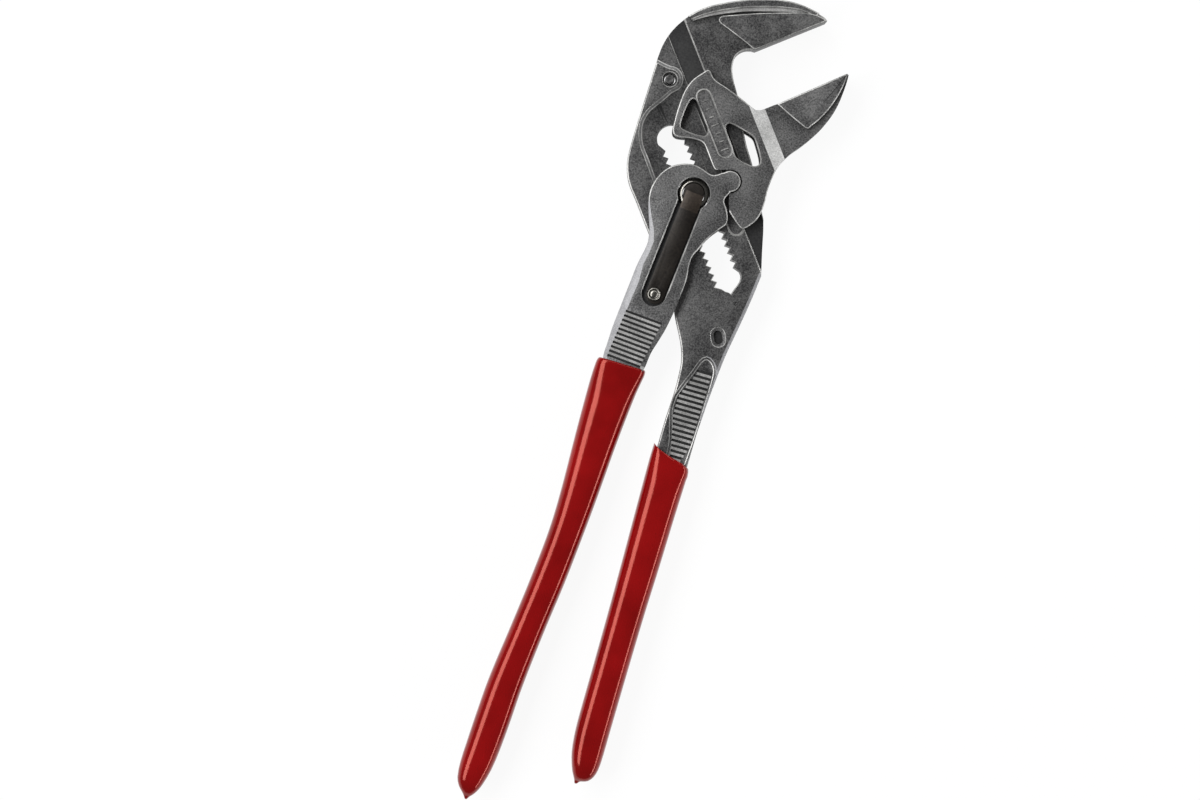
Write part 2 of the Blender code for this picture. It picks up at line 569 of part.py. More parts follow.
# Sliding jaw: cheeks, ramp, body and pad
face = slid(FACE_SHARES, JAW_REACH)
jaw_throat = slid(JAW_THROAT_SHARES, JAW_REACH)
jaw_left = slid(JAW_LEFT_SHARES, JAW_REACH)
jaw_mouth = slid(JAW_MOUTH_SHARES, JAW_REACH)
jaw_foot = slid(JAW_FOOT_SHARES, JAW_REACH)
jaw_right = slid(JAW_RIGHT_SHARES, JAW_REACH)
jaw_outline = (face[:1] + smooth_run(jaw_throat) + smooth_run(jaw_left) + [jaw_left[-1]]
               + jaw_mouth[:-1] + smooth_run(jaw_foot) + smooth_run(jaw_right))
sliding_jaw = plate("sliding_jaw", jaw_outline, -CHEEK_OUT, CHEEK_OUT, parts)
ramp = [(RAMP_TOP, CHEEK_OUT), (RAMP_FOOT, JAW_BODY_HALF), (JAW_REACH + OVERRUN, JAW_BODY_HALF),
        (JAW_REACH + OVERRUN, CHEEK_OUT + OVERRUN), (RAMP_TOP, CHEEK_OUT + OVERRUN)]
for side in (-1, 1):
    profile = [(across, side * height) for across, height in ramp]
    cut(sliding_jaw, prism("jaw_ramp", profile, -JAW_REACH, JAW_REACH, ACROSS, UP, cutters))
jaw_pad = slid(JAW_PAD_SHARES, JAW_REACH) + smooth_run(jaw_right[JAW_PAD_FIRST:]) + face[:1]
join(sliding_jaw, plate("sliding_jaw_pad", jaw_pad, -PAD_HALF, PAD_HALF, cutters))

# The gap in which the fixed lever runs, less the two ribs that guide the jaw
wall = [slide_point(along * JAW_REACH, JAW_WALL + out * JAW_REACH) for along, out in JAW_WALL_SHARES]
jaw_gap_outline = [slide_point(-JAW_REACH, -JAW_REACH)] + wall + [slide_point(JAW_REACH, JAW_WALL),
                                                                 slide_point(JAW_REACH, -JAW_REACH)]
jaw_gap = plate("jaw_gap", jaw_gap_outline, -CHEEK_IN, CHEEK_IN, cutters)
rib_inner = PLATE_HALF - TRACK_DEPTH + GAP
rib = [slide_point(along, across) for along, across in
       ((-2 * JAW_REACH, TRACK_INNER + GAP), (-2 * JAW_REACH, track_outer - GAP),
        (2 * JAW_REACH, track_outer - GAP), (2 * JAW_REACH, TRACK_INNER + GAP))]
for half in both_faces("jaw_guide_rib", rib, rib_inner, CHEEK_IN + OVERRUN):
    cut(jaw_gap, half)
cut(sliding_jaw, jaw_gap)

# The socket, swept by the lever's head over its whole swing
for step in range(SWEEP_STEPS + 1):
    swing = HANDLE_CLOSE - (HANDLE_OPEN + HANDLE_CLOSE) * step / SWEEP_STEPS
    swept = moved(turned(grown(pivot_outline, SOCKET_CLEARANCE), swing), LOBE_ACROSS * swing)
    cut(sliding_jaw, plate("head_sweep", swept, -CHEEK_OUT - OVERRUN, CHEEK_OUT + OVERRUN, cutters))

# Windows and the bare label recess
for name, shares in (("small_window", SMALL_WINDOW_SHARES), ("large_window", LARGE_WINDOW_SHARES)):
    cut(sliding_jaw, plate(name, slid(shares, JAW_REACH), -CHEEK_OUT - OVERRUN, CHEEK_OUT + OVERRUN, cutters))
label_ends = [slide_point(along * JAW_REACH, LABEL_ACROSS_SHARE * JAW_REACH)
              for along in (LABEL_TOP_SHARE, LABEL_FOOT_SHARE)]
for half in both_faces("label_recess", strip(*label_ends, LABEL_WIDTH / 2), CHEEK_OUT - LABEL_DEPTH,
                       CHEEK_OUT + OVERRUN):
    cut(sliding_jaw, half)

# Hinge bolt with flats that pass between the slot's teeth
hinge_bolt = drum("hinge_bolt", (0, 0), BOLT_RADIUS, -BOLT_FOOT, BOLT_TOP, parts)
chamfer(hinge_bolt, BOLT_CHAMFER)
for side in (-1, 1):
    near = side * BOLT_FLAT_HALF
    far = side * 2 * BOLT_RADIUS
    flat = [slide_point(-2 * BOLT_RADIUS, near), slide_point(-2 * BOLT_RADIUS, far),
            slide_point(2 * BOLT_RADIUS, far), slide_point(2 * BOLT_RADIUS, near)]
    cut(hinge_bolt, plate("bolt_flat", flat, -PLATE_HALF - GAP / 2, PLATE_HALF + GAP / 2, cutters))
button_low = -CHEEK_OUT - BUTTON_PROUD
button_high = button_low + BUTTON_THICKNESS
pin_head_low = BOLT_TOP - PIN_HEAD_THICKNESS
cut(hinge_bolt, drum("pin_bore", (0, 0), PIN_RADIUS + GAP, -BOLT_FOOT - OVERRUN, BOLT_TOP + OVERRUN,
                     cutters, SMALL_SIDES))
cut(hinge_bolt, drum("pin_head_seat", (0, 0), PIN_HEAD_RADIUS + GAP, pin_head_low - GAP,
                     BOLT_TOP + OVERRUN, cutters))
cut(hinge_bolt, drum("button_bore", (0, 0), BUTTON_RADIUS + GAP, -BOLT_FOOT - OVERRUN,
                     button_high + BUTTON_TRAVEL + GAP, cutters))

# Locking pin and push button
locking_pin = drum("locking_pin", (0, 0), PIN_HEAD_RADIUS, pin_head_low, BOLT_TOP, parts)
join(locking_pin, drum("pin_stem", (0, 0), PIN_RADIUS, button_high - BUTTON_SOCKET + GAP,
                       BOLT_TOP - PIN_HEAD_THICKNESS / 2, cutters, SMALL_SIDES))
push_button = drum("push_button", (0, 0), BUTTON_RADIUS, button_low, button_high, parts)
chamfer(push_button, BUTTON_CHAMFER)
cut(push_button, drum("button_socket", (0, 0), PIN_RADIUS + GAP, button_high - BUTTON_SOCKET,
                      button_high + OVERRUN, cutters, SMALL_SIDES))

# Dipped grips over the tangs
right_grip_outline = smooth_run(scaled(RIGHT_GRIP_SHARES, RIGHT_GRIP_REACH, RIGHT_GRIP_REACH,
                                       RIGHT_GRIP_REACH))
right_grip_outline.append(scaled(RIGHT_GRIP_SHARES[-1:], *[RIGHT_GRIP_REACH] * 3)[0])
right_grip = plate("right_grip", right_grip_outline, -GRIP_HALF, GRIP_HALF, parts)
left_grip_outline = smooth_run(scaled(LEFT_GRIP_SHARES, LEFT_GRIP_REACH, LEFT_GRIP_REACH,
                                      LEFT_GRIP_REACH))
left_grip_outline.append(scaled(LEFT_GRIP_SHARES[-1:], *[LEFT_GRIP_REACH] * 3)[0])
left_grip = plate("left_grip", left_grip_outline, -GRIP_HALF, GRIP_HALF, parts)
right_sleeve = strip((right_tang_middle, -SHANK_REACH + OVERRUN), (right_tang_middle, -RIGHT_TANG_END - GAP),
                     TANG_HALF_WIDTH + GAP)
left_sleeve = grown(left_tang_outline, GAP)
for grip, sleeve in ((right_grip, right_sleeve), (left_grip, left_sleeve)):
    chamfer(grip, GRIP_ROUND, GRIP_ROUND_STEPS)
    cut(grip, plate(grip.name + "_bore", sleeve, -TANG_HALF - GAP, TANG_HALF + GAP, cutters))

# Colours
for item in (fixed_jaw_lever, pivot_lever, sliding_jaw):
    colour(item, **STEEL)
for item in (hinge_bolt, stop_pin, spring_rivet):
    colour(item, **BRIGHT)
for item in (locking_pin, push_button, leaf_spring):
    colour(item, **SPRING_DARK)
for item in (right_grip, left_grip):
    colour(item, **GRIP_RED)

# The tool's place: its box stands on the origin
bpy.context.view_layer.update()
graph = bpy.context.evaluated_depsgraph_get()
corners = [item.matrix_world @ Vector(corner) for item in parts.objects if item.type == "MESH"
           for corner in item.evaluated_get(graph).bound_box]
lows = [min(corner[axis] for corner in corners) for axis in range(3)]
highs = [max(corner[axis] for corner in corners) for axis in range(3)]
origin.location = (-(lows[0] + highs[0]) / 2, -(lows[1] + highs[1]) / 2, -lows[2])
bpy.context.view_layer.update()
print("hinge axis at", tuple(round(value, 6) for value in origin.location))
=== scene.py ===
"""A pliers wrench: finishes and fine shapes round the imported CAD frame."""

import math

import bmesh
import bpy
from mathutils import Matrix, Vector
from mathutils.geometry import interpolate_bezier


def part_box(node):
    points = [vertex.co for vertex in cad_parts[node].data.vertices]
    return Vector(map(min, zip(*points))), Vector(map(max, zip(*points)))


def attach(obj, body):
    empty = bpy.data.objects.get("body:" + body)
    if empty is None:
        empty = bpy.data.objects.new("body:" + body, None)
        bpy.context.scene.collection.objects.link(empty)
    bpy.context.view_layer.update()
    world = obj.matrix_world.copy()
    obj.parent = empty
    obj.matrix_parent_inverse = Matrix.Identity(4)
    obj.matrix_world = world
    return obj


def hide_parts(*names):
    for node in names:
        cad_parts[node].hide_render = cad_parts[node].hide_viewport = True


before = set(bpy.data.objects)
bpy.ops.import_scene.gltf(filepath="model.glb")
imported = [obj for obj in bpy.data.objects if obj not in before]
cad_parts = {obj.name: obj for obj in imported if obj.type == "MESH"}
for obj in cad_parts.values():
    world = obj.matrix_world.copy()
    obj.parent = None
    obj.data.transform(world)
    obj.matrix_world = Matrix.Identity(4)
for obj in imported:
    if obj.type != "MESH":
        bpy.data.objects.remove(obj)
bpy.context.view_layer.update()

# The fixed jaw lever is one drop forging in chrome vanadium steel: the upper jaw, the toothed slot and the
# right handle's steel. It is trimmed and blasted to a dull grain, and its worn edges are rubbed bright and
# painted lighter still, a painted highlight of the light they catch.
# Lengths on the tool are in millimetres, and place() turns them into metres round the hinge.
MM = 0.001
bolt_low, bolt_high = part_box("hinge_bolt")
lever_low, lever_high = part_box("fixed_jaw_lever")
HINGE = Vector(((bolt_low.x + bolt_high.x) / 2, (bolt_low.y + bolt_high.y) / 2,
                (lever_low.z + lever_high.z) / 2))
# The toothed slot leans this far from the tool's long axis.
SLIDE_ANGLE = math.radians(37.4)
# Heights of the plate's face and the raised parts' face over the middle plane.
PLATE = 3.6
RAISED = 6.5
LEVER_EDGE = 0.4
# The slot's teeth: their pitch, and how far tips and roots stand from the slot's middle line.
TOOTH_PITCH = 2.44
TOOTH_TIP = 3.15
TOOTH_ROOT = 4.5
# The slide track's two sides, across the slot, and its floor.
TRACK = (10.9, 17.15)
TRACK_FLOOR = PLATE - 1.0


def place(x, y, height):
    """A place on the tool, from the hinge and from the middle plane."""
    return HINGE + Vector((x, y, height)) * MM


def slid(along, across):
    """A spot so far down the toothed slot and across it."""
    return (along * math.sin(SLIDE_ANGLE) + across * math.cos(SLIDE_ANGLE),
            across * math.sin(SLIDE_ANGLE) - along * math.cos(SLIDE_ANGLE))


def slide_place(spot):
    """How far down the toothed slot and across it a spot lies."""
    return (spot.x * math.sin(SLIDE_ANGLE) - spot.y * math.cos(SLIDE_ANGLE),
            spot.x * math.cos(SLIDE_ANGLE) + spot.y * math.sin(SLIDE_ANGLE))


def face_spot(face):
    """The middle of a face, from the hinge and the middle plane."""
    return (face.calc_center_median() - HINGE) / MM


def drawn(*runs):
    """Smooth lines joined end to end, with a corner where two runs meet. A run's last spot is left out."""
    outline = []
    for run in runs:
        spots = [Vector((*spot, 0)) for spot in run]
        ways = [(after - before).normalized()
                for before, after in zip(spots[:1] + spots[:-1], spots[1:] + spots[-1:])]
        for here, there, way, next_way in zip(spots, spots[1:], ways, ways[1:]):
            pull = (there - here).length / 3
            count = min(10, max(2, round((there - here).length / 0.6))) if len(run) > 2 else 1
            outline += interpolate_bezier(here, here + way * pull, there - next_way * pull, there,
                                          count + 1)[:-1]
    return [(spot.x, spot.y) for spot in outline]


def softened(outline, rounds=2):
    """The outline with its corners cut back, round after round."""
    for _ in range(rounds):
        cut_back = []
        for here, after in zip(outline, outline[1:] + outline[:1]):
            cut_back.append(tuple(Vector(here).lerp(Vector(after), 0.25)))
            cut_back.append(tuple(Vector(here).lerp(Vector(after), 0.75)))
        outline = cut_back
    return outline


def grown(outline, distance):
    """The outline with every side moved out by the distance."""
    turn = sum(here[0] * after[1] - after[0] * here[1]
               for here, after in zip(outline, outline[1:] + outline[:1]))
    reach = distance if turn > 0 else -distance
    spots = []
    for before, here, after in zip(outline[-1:] + outline[:-1], outline, outline[1:] + outline[:1]):
        first = (Vector(here) - Vector(before)).normalized()
        second = (Vector(after) - Vector(here)).normalized()
        way = (first + second).normalized()
        lean = max(0.5, way.dot(first))
        spots.append((here[0] + way.y * reach / lean, here[1] - way.x * reach / lean))
    return spots


def add_core(mesh, outline, levels):
    """A solid with the outline's shape, standing out by so much at each height."""
    height, outset = levels[0]
    face = mesh.faces.new([mesh.verts.new(place(x, y, height)) for x, y in grown(outline, outset)])
    mesh.faces.new([mesh.verts.new(vert.co) for vert in reversed(face.verts)])
    for height, outset in levels[1:]:
        face = bmesh.ops.extrude_discrete_faces(mesh, faces=[face])["faces"][0]
        for vert, (x, y) in zip(face.verts, grown(outline, outset)):
            vert.co = place(x, y, height)
    bmesh.ops.remove_doubles(mesh, verts=mesh.verts, dist=MM * 1e-4)


def solid(name, *cores):
    """One object from closed cores that keep clear of each other."""
    mesh = bmesh.new()
    for outline, levels in cores:
        add_core(mesh, outline, levels)
    bmesh.ops.recalc_face_normals(mesh, faces=mesh.faces)
    return as_object(name, mesh)


def as_object(name, mesh):
    """The finished mesh as an object of the scene."""
    data = bpy.data.meshes.new(name)
    mesh.to_mesh(data)
    mesh.free()
    made = bpy.data.objects.new(name, data)
    bpy.context.scene.collection.objects.link(made)
    return made


def plate_levels(low, high, edge):
    """Heights of a flat forging whose long edges are rounded off in three facets."""
    near, mid = edge * 0.42, edge * 0.12
    return [(low, -edge), (low + mid, -near), (low + near, -mid), (low + edge, 0), (high - edge, 0),
            (high - near, -mid), (high - mid, -near), (high, -edge)]


def mouth_levels(floor, face, lip):
    """Heights of a pocket from its floor out past the face, with a lip all round."""
    return [(floor, 0), (face - lip, 0), (face + 0.6, lip + 0.6)]


def through_levels(face, lip):
    """Heights of an opening through the piece, with a lip at both faces."""
    return [(-face - 0.6, lip + 0.6), (-face + lip, 0), (face - lip, 0), (face + 0.6, lip + 0.6)]


def both_faces(outline, levels):
    """The same core on the near and the far face, from the heights of the near one."""
    return [(outline, [(side * height, outset) for height, outset in levels]) for side in (1, -1)]


def carve(made, tool, way="DIFFERENCE"):
    """Cuts the tool out of the piece, or joins it on, for good."""
    change = made.modifiers.new("carve", "BOOLEAN")
    change.operation = way
    change.object = tool
    change.solver = "EXACT"
    graph = bpy.context.evaluated_depsgraph_get()
    data = bpy.data.meshes.new_from_object(made.evaluated_get(graph))
    made.modifiers.clear()
    made.data = data
    bpy.data.objects.remove(tool)


def strip(start, end, half):
    """A straight band from start to end."""
    way = (Vector(end) - Vector(start)).normalized() * half
    return [(start[0] - way.y, start[1] + way.x), (start[0] + way.y, start[1] - way.x),
            (end[0] + way.y, end[1] - way.x), (end[0] - way.y, end[1] + way.x)]


def disc(middle, radius, count=48):
    """A round outline."""
    return [(middle[0] + radius * math.cos(step * math.tau / count),
             middle[1] + radius * math.sin(step * math.tau / count)) for step in range(count)]


def stadium(start, end, half, count=14):
    """A band with round ends."""
    way = math.atan2(end[1] - start[1], end[0] - start[0])
    spots = []
    for middle, first in ((end, way - math.pi / 2), (start, way + math.pi / 2)):
        spots += [(middle[0] + half * math.cos(first + math.pi * step / count),
                   middle[1] + half * math.sin(first + math.pi * step / count)) for step in range(count + 1)]
    return spots


def bars(name, rows, tall, width, tilt=0.0):
    """Straight bars, each given by its left end, its right end and the height of its middle."""
    mesh = bmesh.new()
    for left, right, height in rows:
        start, end = place(*left, height), place(*right, height)
        turn = Matrix.Rotation(math.atan2(end.y - start.y, end.x - start.x), 4, "Z")
        lean = Matrix.Rotation(math.copysign(tilt, height), 4, "X")
        size = Matrix.Diagonal(((end - start).length, width * MM, tall * MM, 1))
        bmesh.ops.create_cube(mesh, size=1, matrix=Matrix.Translation((start + end) / 2) @ turn @ lean @ size)
    return as_object(name, mesh)


# The forging's outline, round from the upper jaw's tip down the back edge and up the front.
lever_back = [(25.3, 63.4), (24.3, 64.1), (22.2, 64.7), (19.5, 65.25), (16.3, 65.7), (13.8, 65.8),
              (11.4, 65.65), (6.7, 64.8), (-0.4, 62.6), (-4.8, 60.8), (-9.2, 58.6), (-12.3, 56.7),
              (-15.3, 54.2), (-17.8, 51.4), (-19.5, 48.8), (-20.9, 45.8), (-21.9, 42.1), (-22.3, 38.4),
              (-22.45, 33.7), (-22.6, 28.0), (-22.8, 22.0), (-22.95, 16.0), (-23.0, 11.3), (-22.9, 5.8),
              (-22.2, 2.2), (-20.4, -2.0), slid(-4.5, -17.4)]
lever_back_foot = [slid(-4.5, -17.4), slid(24, -17.4)]
lever_shank = [slid(24, -17.4), slid(28.5, -17.95), slid(33, -19.2), (6.0, -40.3), (7.5, -43.0),
               (8.9, -45.8), (10.0, -48.6), (10.8, -52.0), (11.15, -57.0), (11.2, -61.5), (11.0, -66.0),
               (10.8, -71.0), (10.8, -90.0)]
lever_foot = [(10.8, -90.0), (21.4, -90.0)]
lever_right = [(21.4, -90.0), (21.45, -72.0), (21.7, -67.0), (22.1, -60.0), (22.6, -54.0), (23.4, -46.0),
               (24.4, -39.6), (25.3, -34.2), (26.4, -26.7), (27.3, -18.8)]
lever_facet = [(27.3, -18.8), (26.8, -16.7), (25.4, -10.9), (24.1, -5.1), (23.1, -1.5)]
lever_front = [(23.1, -1.5), (19.1, 6.2), (14.9, 14.2), (11.5, 19.6), (8.0, 26.6), (5.0, 33.0), (2.3, 37.6),
               (0.9, 41.0), (0.65, 43.1), (0.9, 45.0), (1.9, 46.6), (3.4, 47.7), (5.0, 48.2), (6.3, 48.6)]
gripping_face = [(6.3, 48.6), (25.3, 63.4)]
lever_outline = drawn(lever_back, lever_back_foot, lever_shank, lever_foot, lever_right, lever_facet,
                      lever_front, gripping_face)
lever = solid("lever_forging", (lever_outline, plate_levels(-PLATE, PLATE, LEVER_EDGE)))

rim_inner = [(-17.0, 50.4), (-15.4, 51.9), (-12.4, 54.2), (-8.5, 56.5), (-4.2, 58.5), (0.2, 60.3),
             (7.3, 62.4), (11.9, 63.4), (15.5, 63.9), (19.0, 63.7), (21.4, 63.0)]
rim = grown(drawn(lever_back[2:14], [lever_back[13], rim_inner[0]], rim_inner,
                  [rim_inner[-1], lever_back[2]]), 0.03)
rim_face = RAISED - 0.08
carve(lever, solid("jaw_rim", (rim, plate_levels(-rim_face, rim_face, 0.4))), "UNION")
# A lower shelf runs along the rim's inner side, and catches the light in the photo.
SHELF_FACE = 5.7
shelf = drawn([(x + 0.1, y + 0.3) for x, y in rim_inner[1:10]],
              [(19.1, 64.0), (19.2, 62.9)],
              [(19.2, 62.9), (15.7, 62.85), (12.1, 62.3), (7.6, 61.15), (0.6, 59.2), (-3.8, 57.5),
               (-8.0, 55.7), (-11.9, 53.7), (-15.0, 51.7)],
              [(-15.0, 51.7), (rim_inner[1][0] + 0.1, rim_inner[1][1] + 0.3)])
carve(lever, solid("rim_shelf", (shelf, [(-SHELF_FACE, 0), (SHELF_FACE, 0)])), "UNION")
# The rim's left end is relieved, to clear the sliding jaw's corner at the narrowest setting.
cheek_corner = [(-2.3, 35.5), (-3.6, 36.1), (-4.6, 37.0), (-5.4, 38.0), (-6.2, 38.3), (-7.0, 37.7),
                (-7.9, 36.6), (-9.6, 34.6), (-4.0, 30.0)]
shift = slid(-17.5, 0)
relief = [(x + shift[0], y + shift[1]) for x, y in grown(cheek_corner, 0.45)]
carve(lever, solid("cheek_relief", *both_faces(relief, [(PLATE + 0.15, 0), (RAISED + 0.5, 0)])))
pad = drawn([(25.13, 63.13), (21.8, 63.9), (18.4, 63.6), (14.6, 62.7), (10.0, 61.4), (3.1, 59.2),
             (-2.7, 57.1), (-5.9, 55.9)],
            [(-5.9, 55.9), (-7.1, 55.2), (-7.3, 54.0), (-6.4, 53.2)],
            [(-6.4, 53.2), (-1.4, 51.3), (3.5, 49.3), (5.4, 48.46)],
            [(5.4, 48.46), (6.33, 48.5)],
            [(6.33, 48.5), (25.13, 63.13)])
carve(lever, solid("jaw_pad", (pad, plate_levels(-RAISED, RAISED, 0.3))), "UNION")

# The slide track is milled beside the slot, and the face round the slot steps down, clear of the pin's boss.
track = [slid(-70, TRACK[0]), slid(-70, TRACK[1]), slid(70, TRACK[1]), slid(70, TRACK[0])]
carve(lever, solid("slide_track", *both_faces(track, mouth_levels(TRACK_FLOOR, PLATE, 0.4))))
pin_spot = slid(-36.0, 6.3)
BOSS_RADIUS = 3.5
boss = [(pin_spot[0] + BOSS_RADIUS * math.cos(math.radians(105 - 15 * step)),
         pin_spot[1] + BOSS_RADIUS * math.sin(math.radians(105 - 15 * step))) for step in range(10)]
zone = (drawn([(-30.0, 37.6), (-22.3, 36.6), (-20.0, 36.1), boss[0]]) + boss
        + drawn([(-15.6, 29.0), (-17.6, 25.9), (-20.6, 21.6), (-21.5, 19.0), (-21.8, 16.4), (-21.1, 13.0),
                 (-19.9, 10.2), (-17.0, 6.3), (-12.9, 0.6)])
        + [(-12.9, 0.6), (-2.0, -12.0), slid(7.0, 13.0), slid(-66.0, 13.0), (-42.0, 60.0)])
carve(lever, solid("zone_step", *both_faces(zone, [(PLATE - 0.45, -0.7), (PLATE - 0.25, -0.42),
                                                   (PLATE - 0.2, 0.2), (PLATE, 0.42),
                                                   (PLATE + 0.5, 0.95)])))
lip = [slid(-70, TRACK[0]), slid(-70, 14.0), slid(70, 14.0), slid(70, TRACK[0])]
carve(lever, solid("track_lip", *both_faces(lip, [(2.7, 0.01), (2.9, 0.01), (3.55, 0.66)])))
# A second, shallower channel runs between the slot and the track.
side_track = stadium(slid(-24, 8.6), slid(14.6, 8.6), 2.2)
carve(lever, solid("side_track", *both_faces(side_track, [(PLATE - 0.75, -0.2), (PLATE - 0.4, 0.1),
                                                          (PLATE + 0.5, 1.0)])))
# The shank's right edge is a broad slope.
shank_edge = lever_right[2:] + [(40.0, -18.8), (40.0, -67.0)]
carve(lever, solid("shank_edge", *both_faces(shank_edge, [(PLATE - 0.6, -0.2), (PLATE, 0.95),
                                                          (PLATE + 0.5, 1.9)])))

# The slot goes through the plate: a round top, teeth down both sides and a sloping foot.
SLOT_TOP = -18.4
SLOT_ROUND = 4.6
FIRST_TIP = -15.7
LEFT_TIPS = 19
RIGHT_TIPS = 18
slot = [slid(SLOT_TOP - SLOT_ROUND * math.sin(turn), -SLOT_ROUND * math.cos(turn))
        for turn in [step * math.pi / 20 for step in range(21)]]
for tooth in range(RIGHT_TIPS):
    slot.append(slid(tooth * TOOTH_PITCH + FIRST_TIP, TOOTH_TIP))
    if tooth < RIGHT_TIPS - 1:
        slot.append(slid((tooth + 0.5) * TOOTH_PITCH + FIRST_TIP, TOOTH_ROOT))
slot += [slid(*spot) for spot in ((27.7, 4.4), (28.6, 4.5), (29.6, 4.25), (30.6, 3.5), (31.4, 2.4),
                                  (32.1, 1.15), (33.3, -0.5), (32.6, -1.0), (31.9, -1.9), (30.8, -2.7),
                                  (29.42, -TOOTH_ROOT))]
for tooth in reversed(range(LEFT_TIPS)):
    slot.append(slid(tooth * TOOTH_PITCH + FIRST_TIP, -TOOTH_TIP))
    if tooth:
        slot.append(slid((tooth - 0.5) * TOOTH_PITCH + FIRST_TIP, -TOOTH_ROOT))
carve(lever, solid("toothed_slot", (slot, through_levels(PLATE, 0.22))))

# The stop pin's hole and dish, the oval pocket and the recessed field for the shank's ribs.
carve(lever, solid("pin_hole", (disc(pin_spot, 1.75, 32), [(-PLATE - 1, 0), (PLATE + 1, 0)])))
carve(lever, solid("pin_dish", *both_faces(disc(pin_spot, 2.25, 32), mouth_levels(PLATE - 0.9, PLATE, 0.3))))
oval = stadium((19.25, -40.05), (19.95, -41.55), 2.2)
carve(lever, solid("oval_pocket", *both_faces(oval, [(PLATE - 1.3, -1.0), (PLATE - 0.3, -0.9),
                                                     (PLATE - 0.22, 0), (PLATE, 0.22),
                                                     (PLATE + 0.5, 0.8)])))
rib_field = drawn([(12.3, -62.0), (13.9, -57.6), (15.6, -53.4), (17.1, -49.5), (18.1, -48.6), (19.3, -49.0),
                   (20.5, -50.3), (21.2, -52.4), (21.3, -58.0), (21.1, -66.0), (20.8, -74.0), (20.0, -86.0)],
                  [(20.0, -86.0), (15.4, -86.0)],
                  [(15.4, -86.0), (14.7, -76.0), (13.3, -70.5), (12.2, -66.0), (12.3, -62.0)])
RIB_FLOOR = PLATE - 0.3
carve(lever, solid("rib_field", *both_faces(rib_field, [(RIB_FLOOR, 0), (PLATE - 0.15, 0.25),
                                                        (PLATE - 0.13, 0.85), (PLATE, 1.1),
                                                        (PLATE + 0.5, 1.6)])))
RIB_PITCH = 1.63
FIRST_GAP = 52.6
gap_rows, cap_rows = [], []
for rib in range(19):
    down = FIRST_GAP + RIB_PITCH * rib
    left = max(16.4 - 0.42 * (down - 52.1), 12.6, 12.6 + 0.21 * (down - 67.0))
    right = min(21.0 - 0.02 * (down - FIRST_GAP), 21.0 - 0.35 * (down - 74.5))
    cap_down = down + RIB_PITCH / 2
    for height in (RIB_FLOOR - 0.1, 0.1 - RIB_FLOOR):
        gap_rows.append(((left, -down), (right, -down), height))
        cap_rows.append(((left + 0.1, -cap_down), (right - 0.1, -cap_down), height))
carve(lever, bars("shank_gaps", gap_rows, 0.9, 0.72))
carve(lever, bars("shank_ribs", cap_rows, 0.3, 0.8), "UNION")
# Five short ticks are cut beside the slot, and two small round punch marks in the face.
ticks = []
for tooth in range(5):
    along = (tooth + 0.5) * TOOTH_PITCH - 8.4
    ticks.append((strip(slid(along, 6.0), slid(along, 7.6), 0.17), [(PLATE - 0.75, 0), (PLATE + 0.2, 0.3)]))
carve(lever, solid("size_ticks", *ticks))
marks = bmesh.new()
punches = ((-16.7, 21.9), (21.9, -29.2))
for spot in punches:
    bmesh.ops.create_uvsphere(marks, u_segments=16, v_segments=8, radius=0.8 * MM,
                              matrix=Matrix.Translation(place(*spot, PLATE + 0.45)))
carve(lever, as_object("punch_marks", marks))
# The handle's steel core goes down inside the grip.
TANG_HALF_WIDTH = 3.3
TANG_FACE = 3.6
tang = strip((16.1, -84.0), (16.1, -176.0), TANG_HALF_WIDTH)
carve(lever, solid("right_tang", (tang, [(-TANG_FACE, 0), (TANG_FACE, 0)])), "UNION")


def new_finish(name):
    """A material, its nodes and their links."""
    finish = bpy.data.materials.new(name)
    finish.use_nodes = True
    return finish, finish.node_tree.nodes, finish.node_tree.links


def speckled(name, dark, light, roughness, metallic, grain=2600.0, bump=0.45, smear=0.35):
    """Blasted steel: a fine grain in colour and height, with slow cloudy marks over it."""
    finish, nodes, links = new_finish(name)
    shader = nodes["Principled BSDF"]
    shader.inputs["Metallic"].default_value = metallic
    place_node = nodes.new("ShaderNodeTexCoord")
    fine = nodes.new("ShaderNodeTexNoise")
    fine.inputs["Scale"].default_value = grain
    fine.inputs["Detail"].default_value = 2.0
    fine.inputs["Roughness"].default_value = 0.7
    cloud = nodes.new("ShaderNodeTexNoise")
    cloud.inputs["Scale"].default_value = grain / 18
    cloud.inputs["Detail"].default_value = 4.0
    both = nodes.new("ShaderNodeMix")
    both.data_type = "FLOAT"
    both.inputs["Factor"].default_value = smear
    ramp = nodes.new("ShaderNodeValToRGB")
    ramp.color_ramp.elements[0].position = 0.38
    ramp.color_ramp.elements[0].color = (*dark, 1)
    ramp.color_ramp.elements[1].position = 0.64
    ramp.color_ramp.elements[1].color = (*light, 1)
    gloss = nodes.new("ShaderNodeMapRange")
    gloss.inputs["From Min"].default_value = 0.3
    gloss.inputs["From Max"].default_value = 0.7
    gloss.inputs["To Min"].default_value = roughness - 0.07
    gloss.inputs["To Max"].default_value = roughness + 0.07
    relief = nodes.new("ShaderNodeBump")
    relief.inputs["Strength"].default_value = bump
    relief.inputs["Distance"].default_value = 0.00006
    for texture in (fine, cloud):
        links.new(place_node.outputs["Object"], texture.inputs["Vector"])
    links.new(fine.outputs["Fac"], both.inputs["A"])
    links.new(cloud.outputs["Fac"], both.inputs["B"])
    links.new(both.outputs["Result"], ramp.inputs["Fac"])
    links.new(ramp.outputs["Color"], shader.inputs["Base Color"])
    links.new(cloud.outputs["Fac"], gloss.inputs["Value"])
    links.new(gloss.outputs["Result"], shader.inputs["Roughness"])
    links.new(fine.outputs["Fac"], relief.inputs["Height"])
    links.new(relief.outputs["Normal"], shader.inputs["Normal"])
    return finish


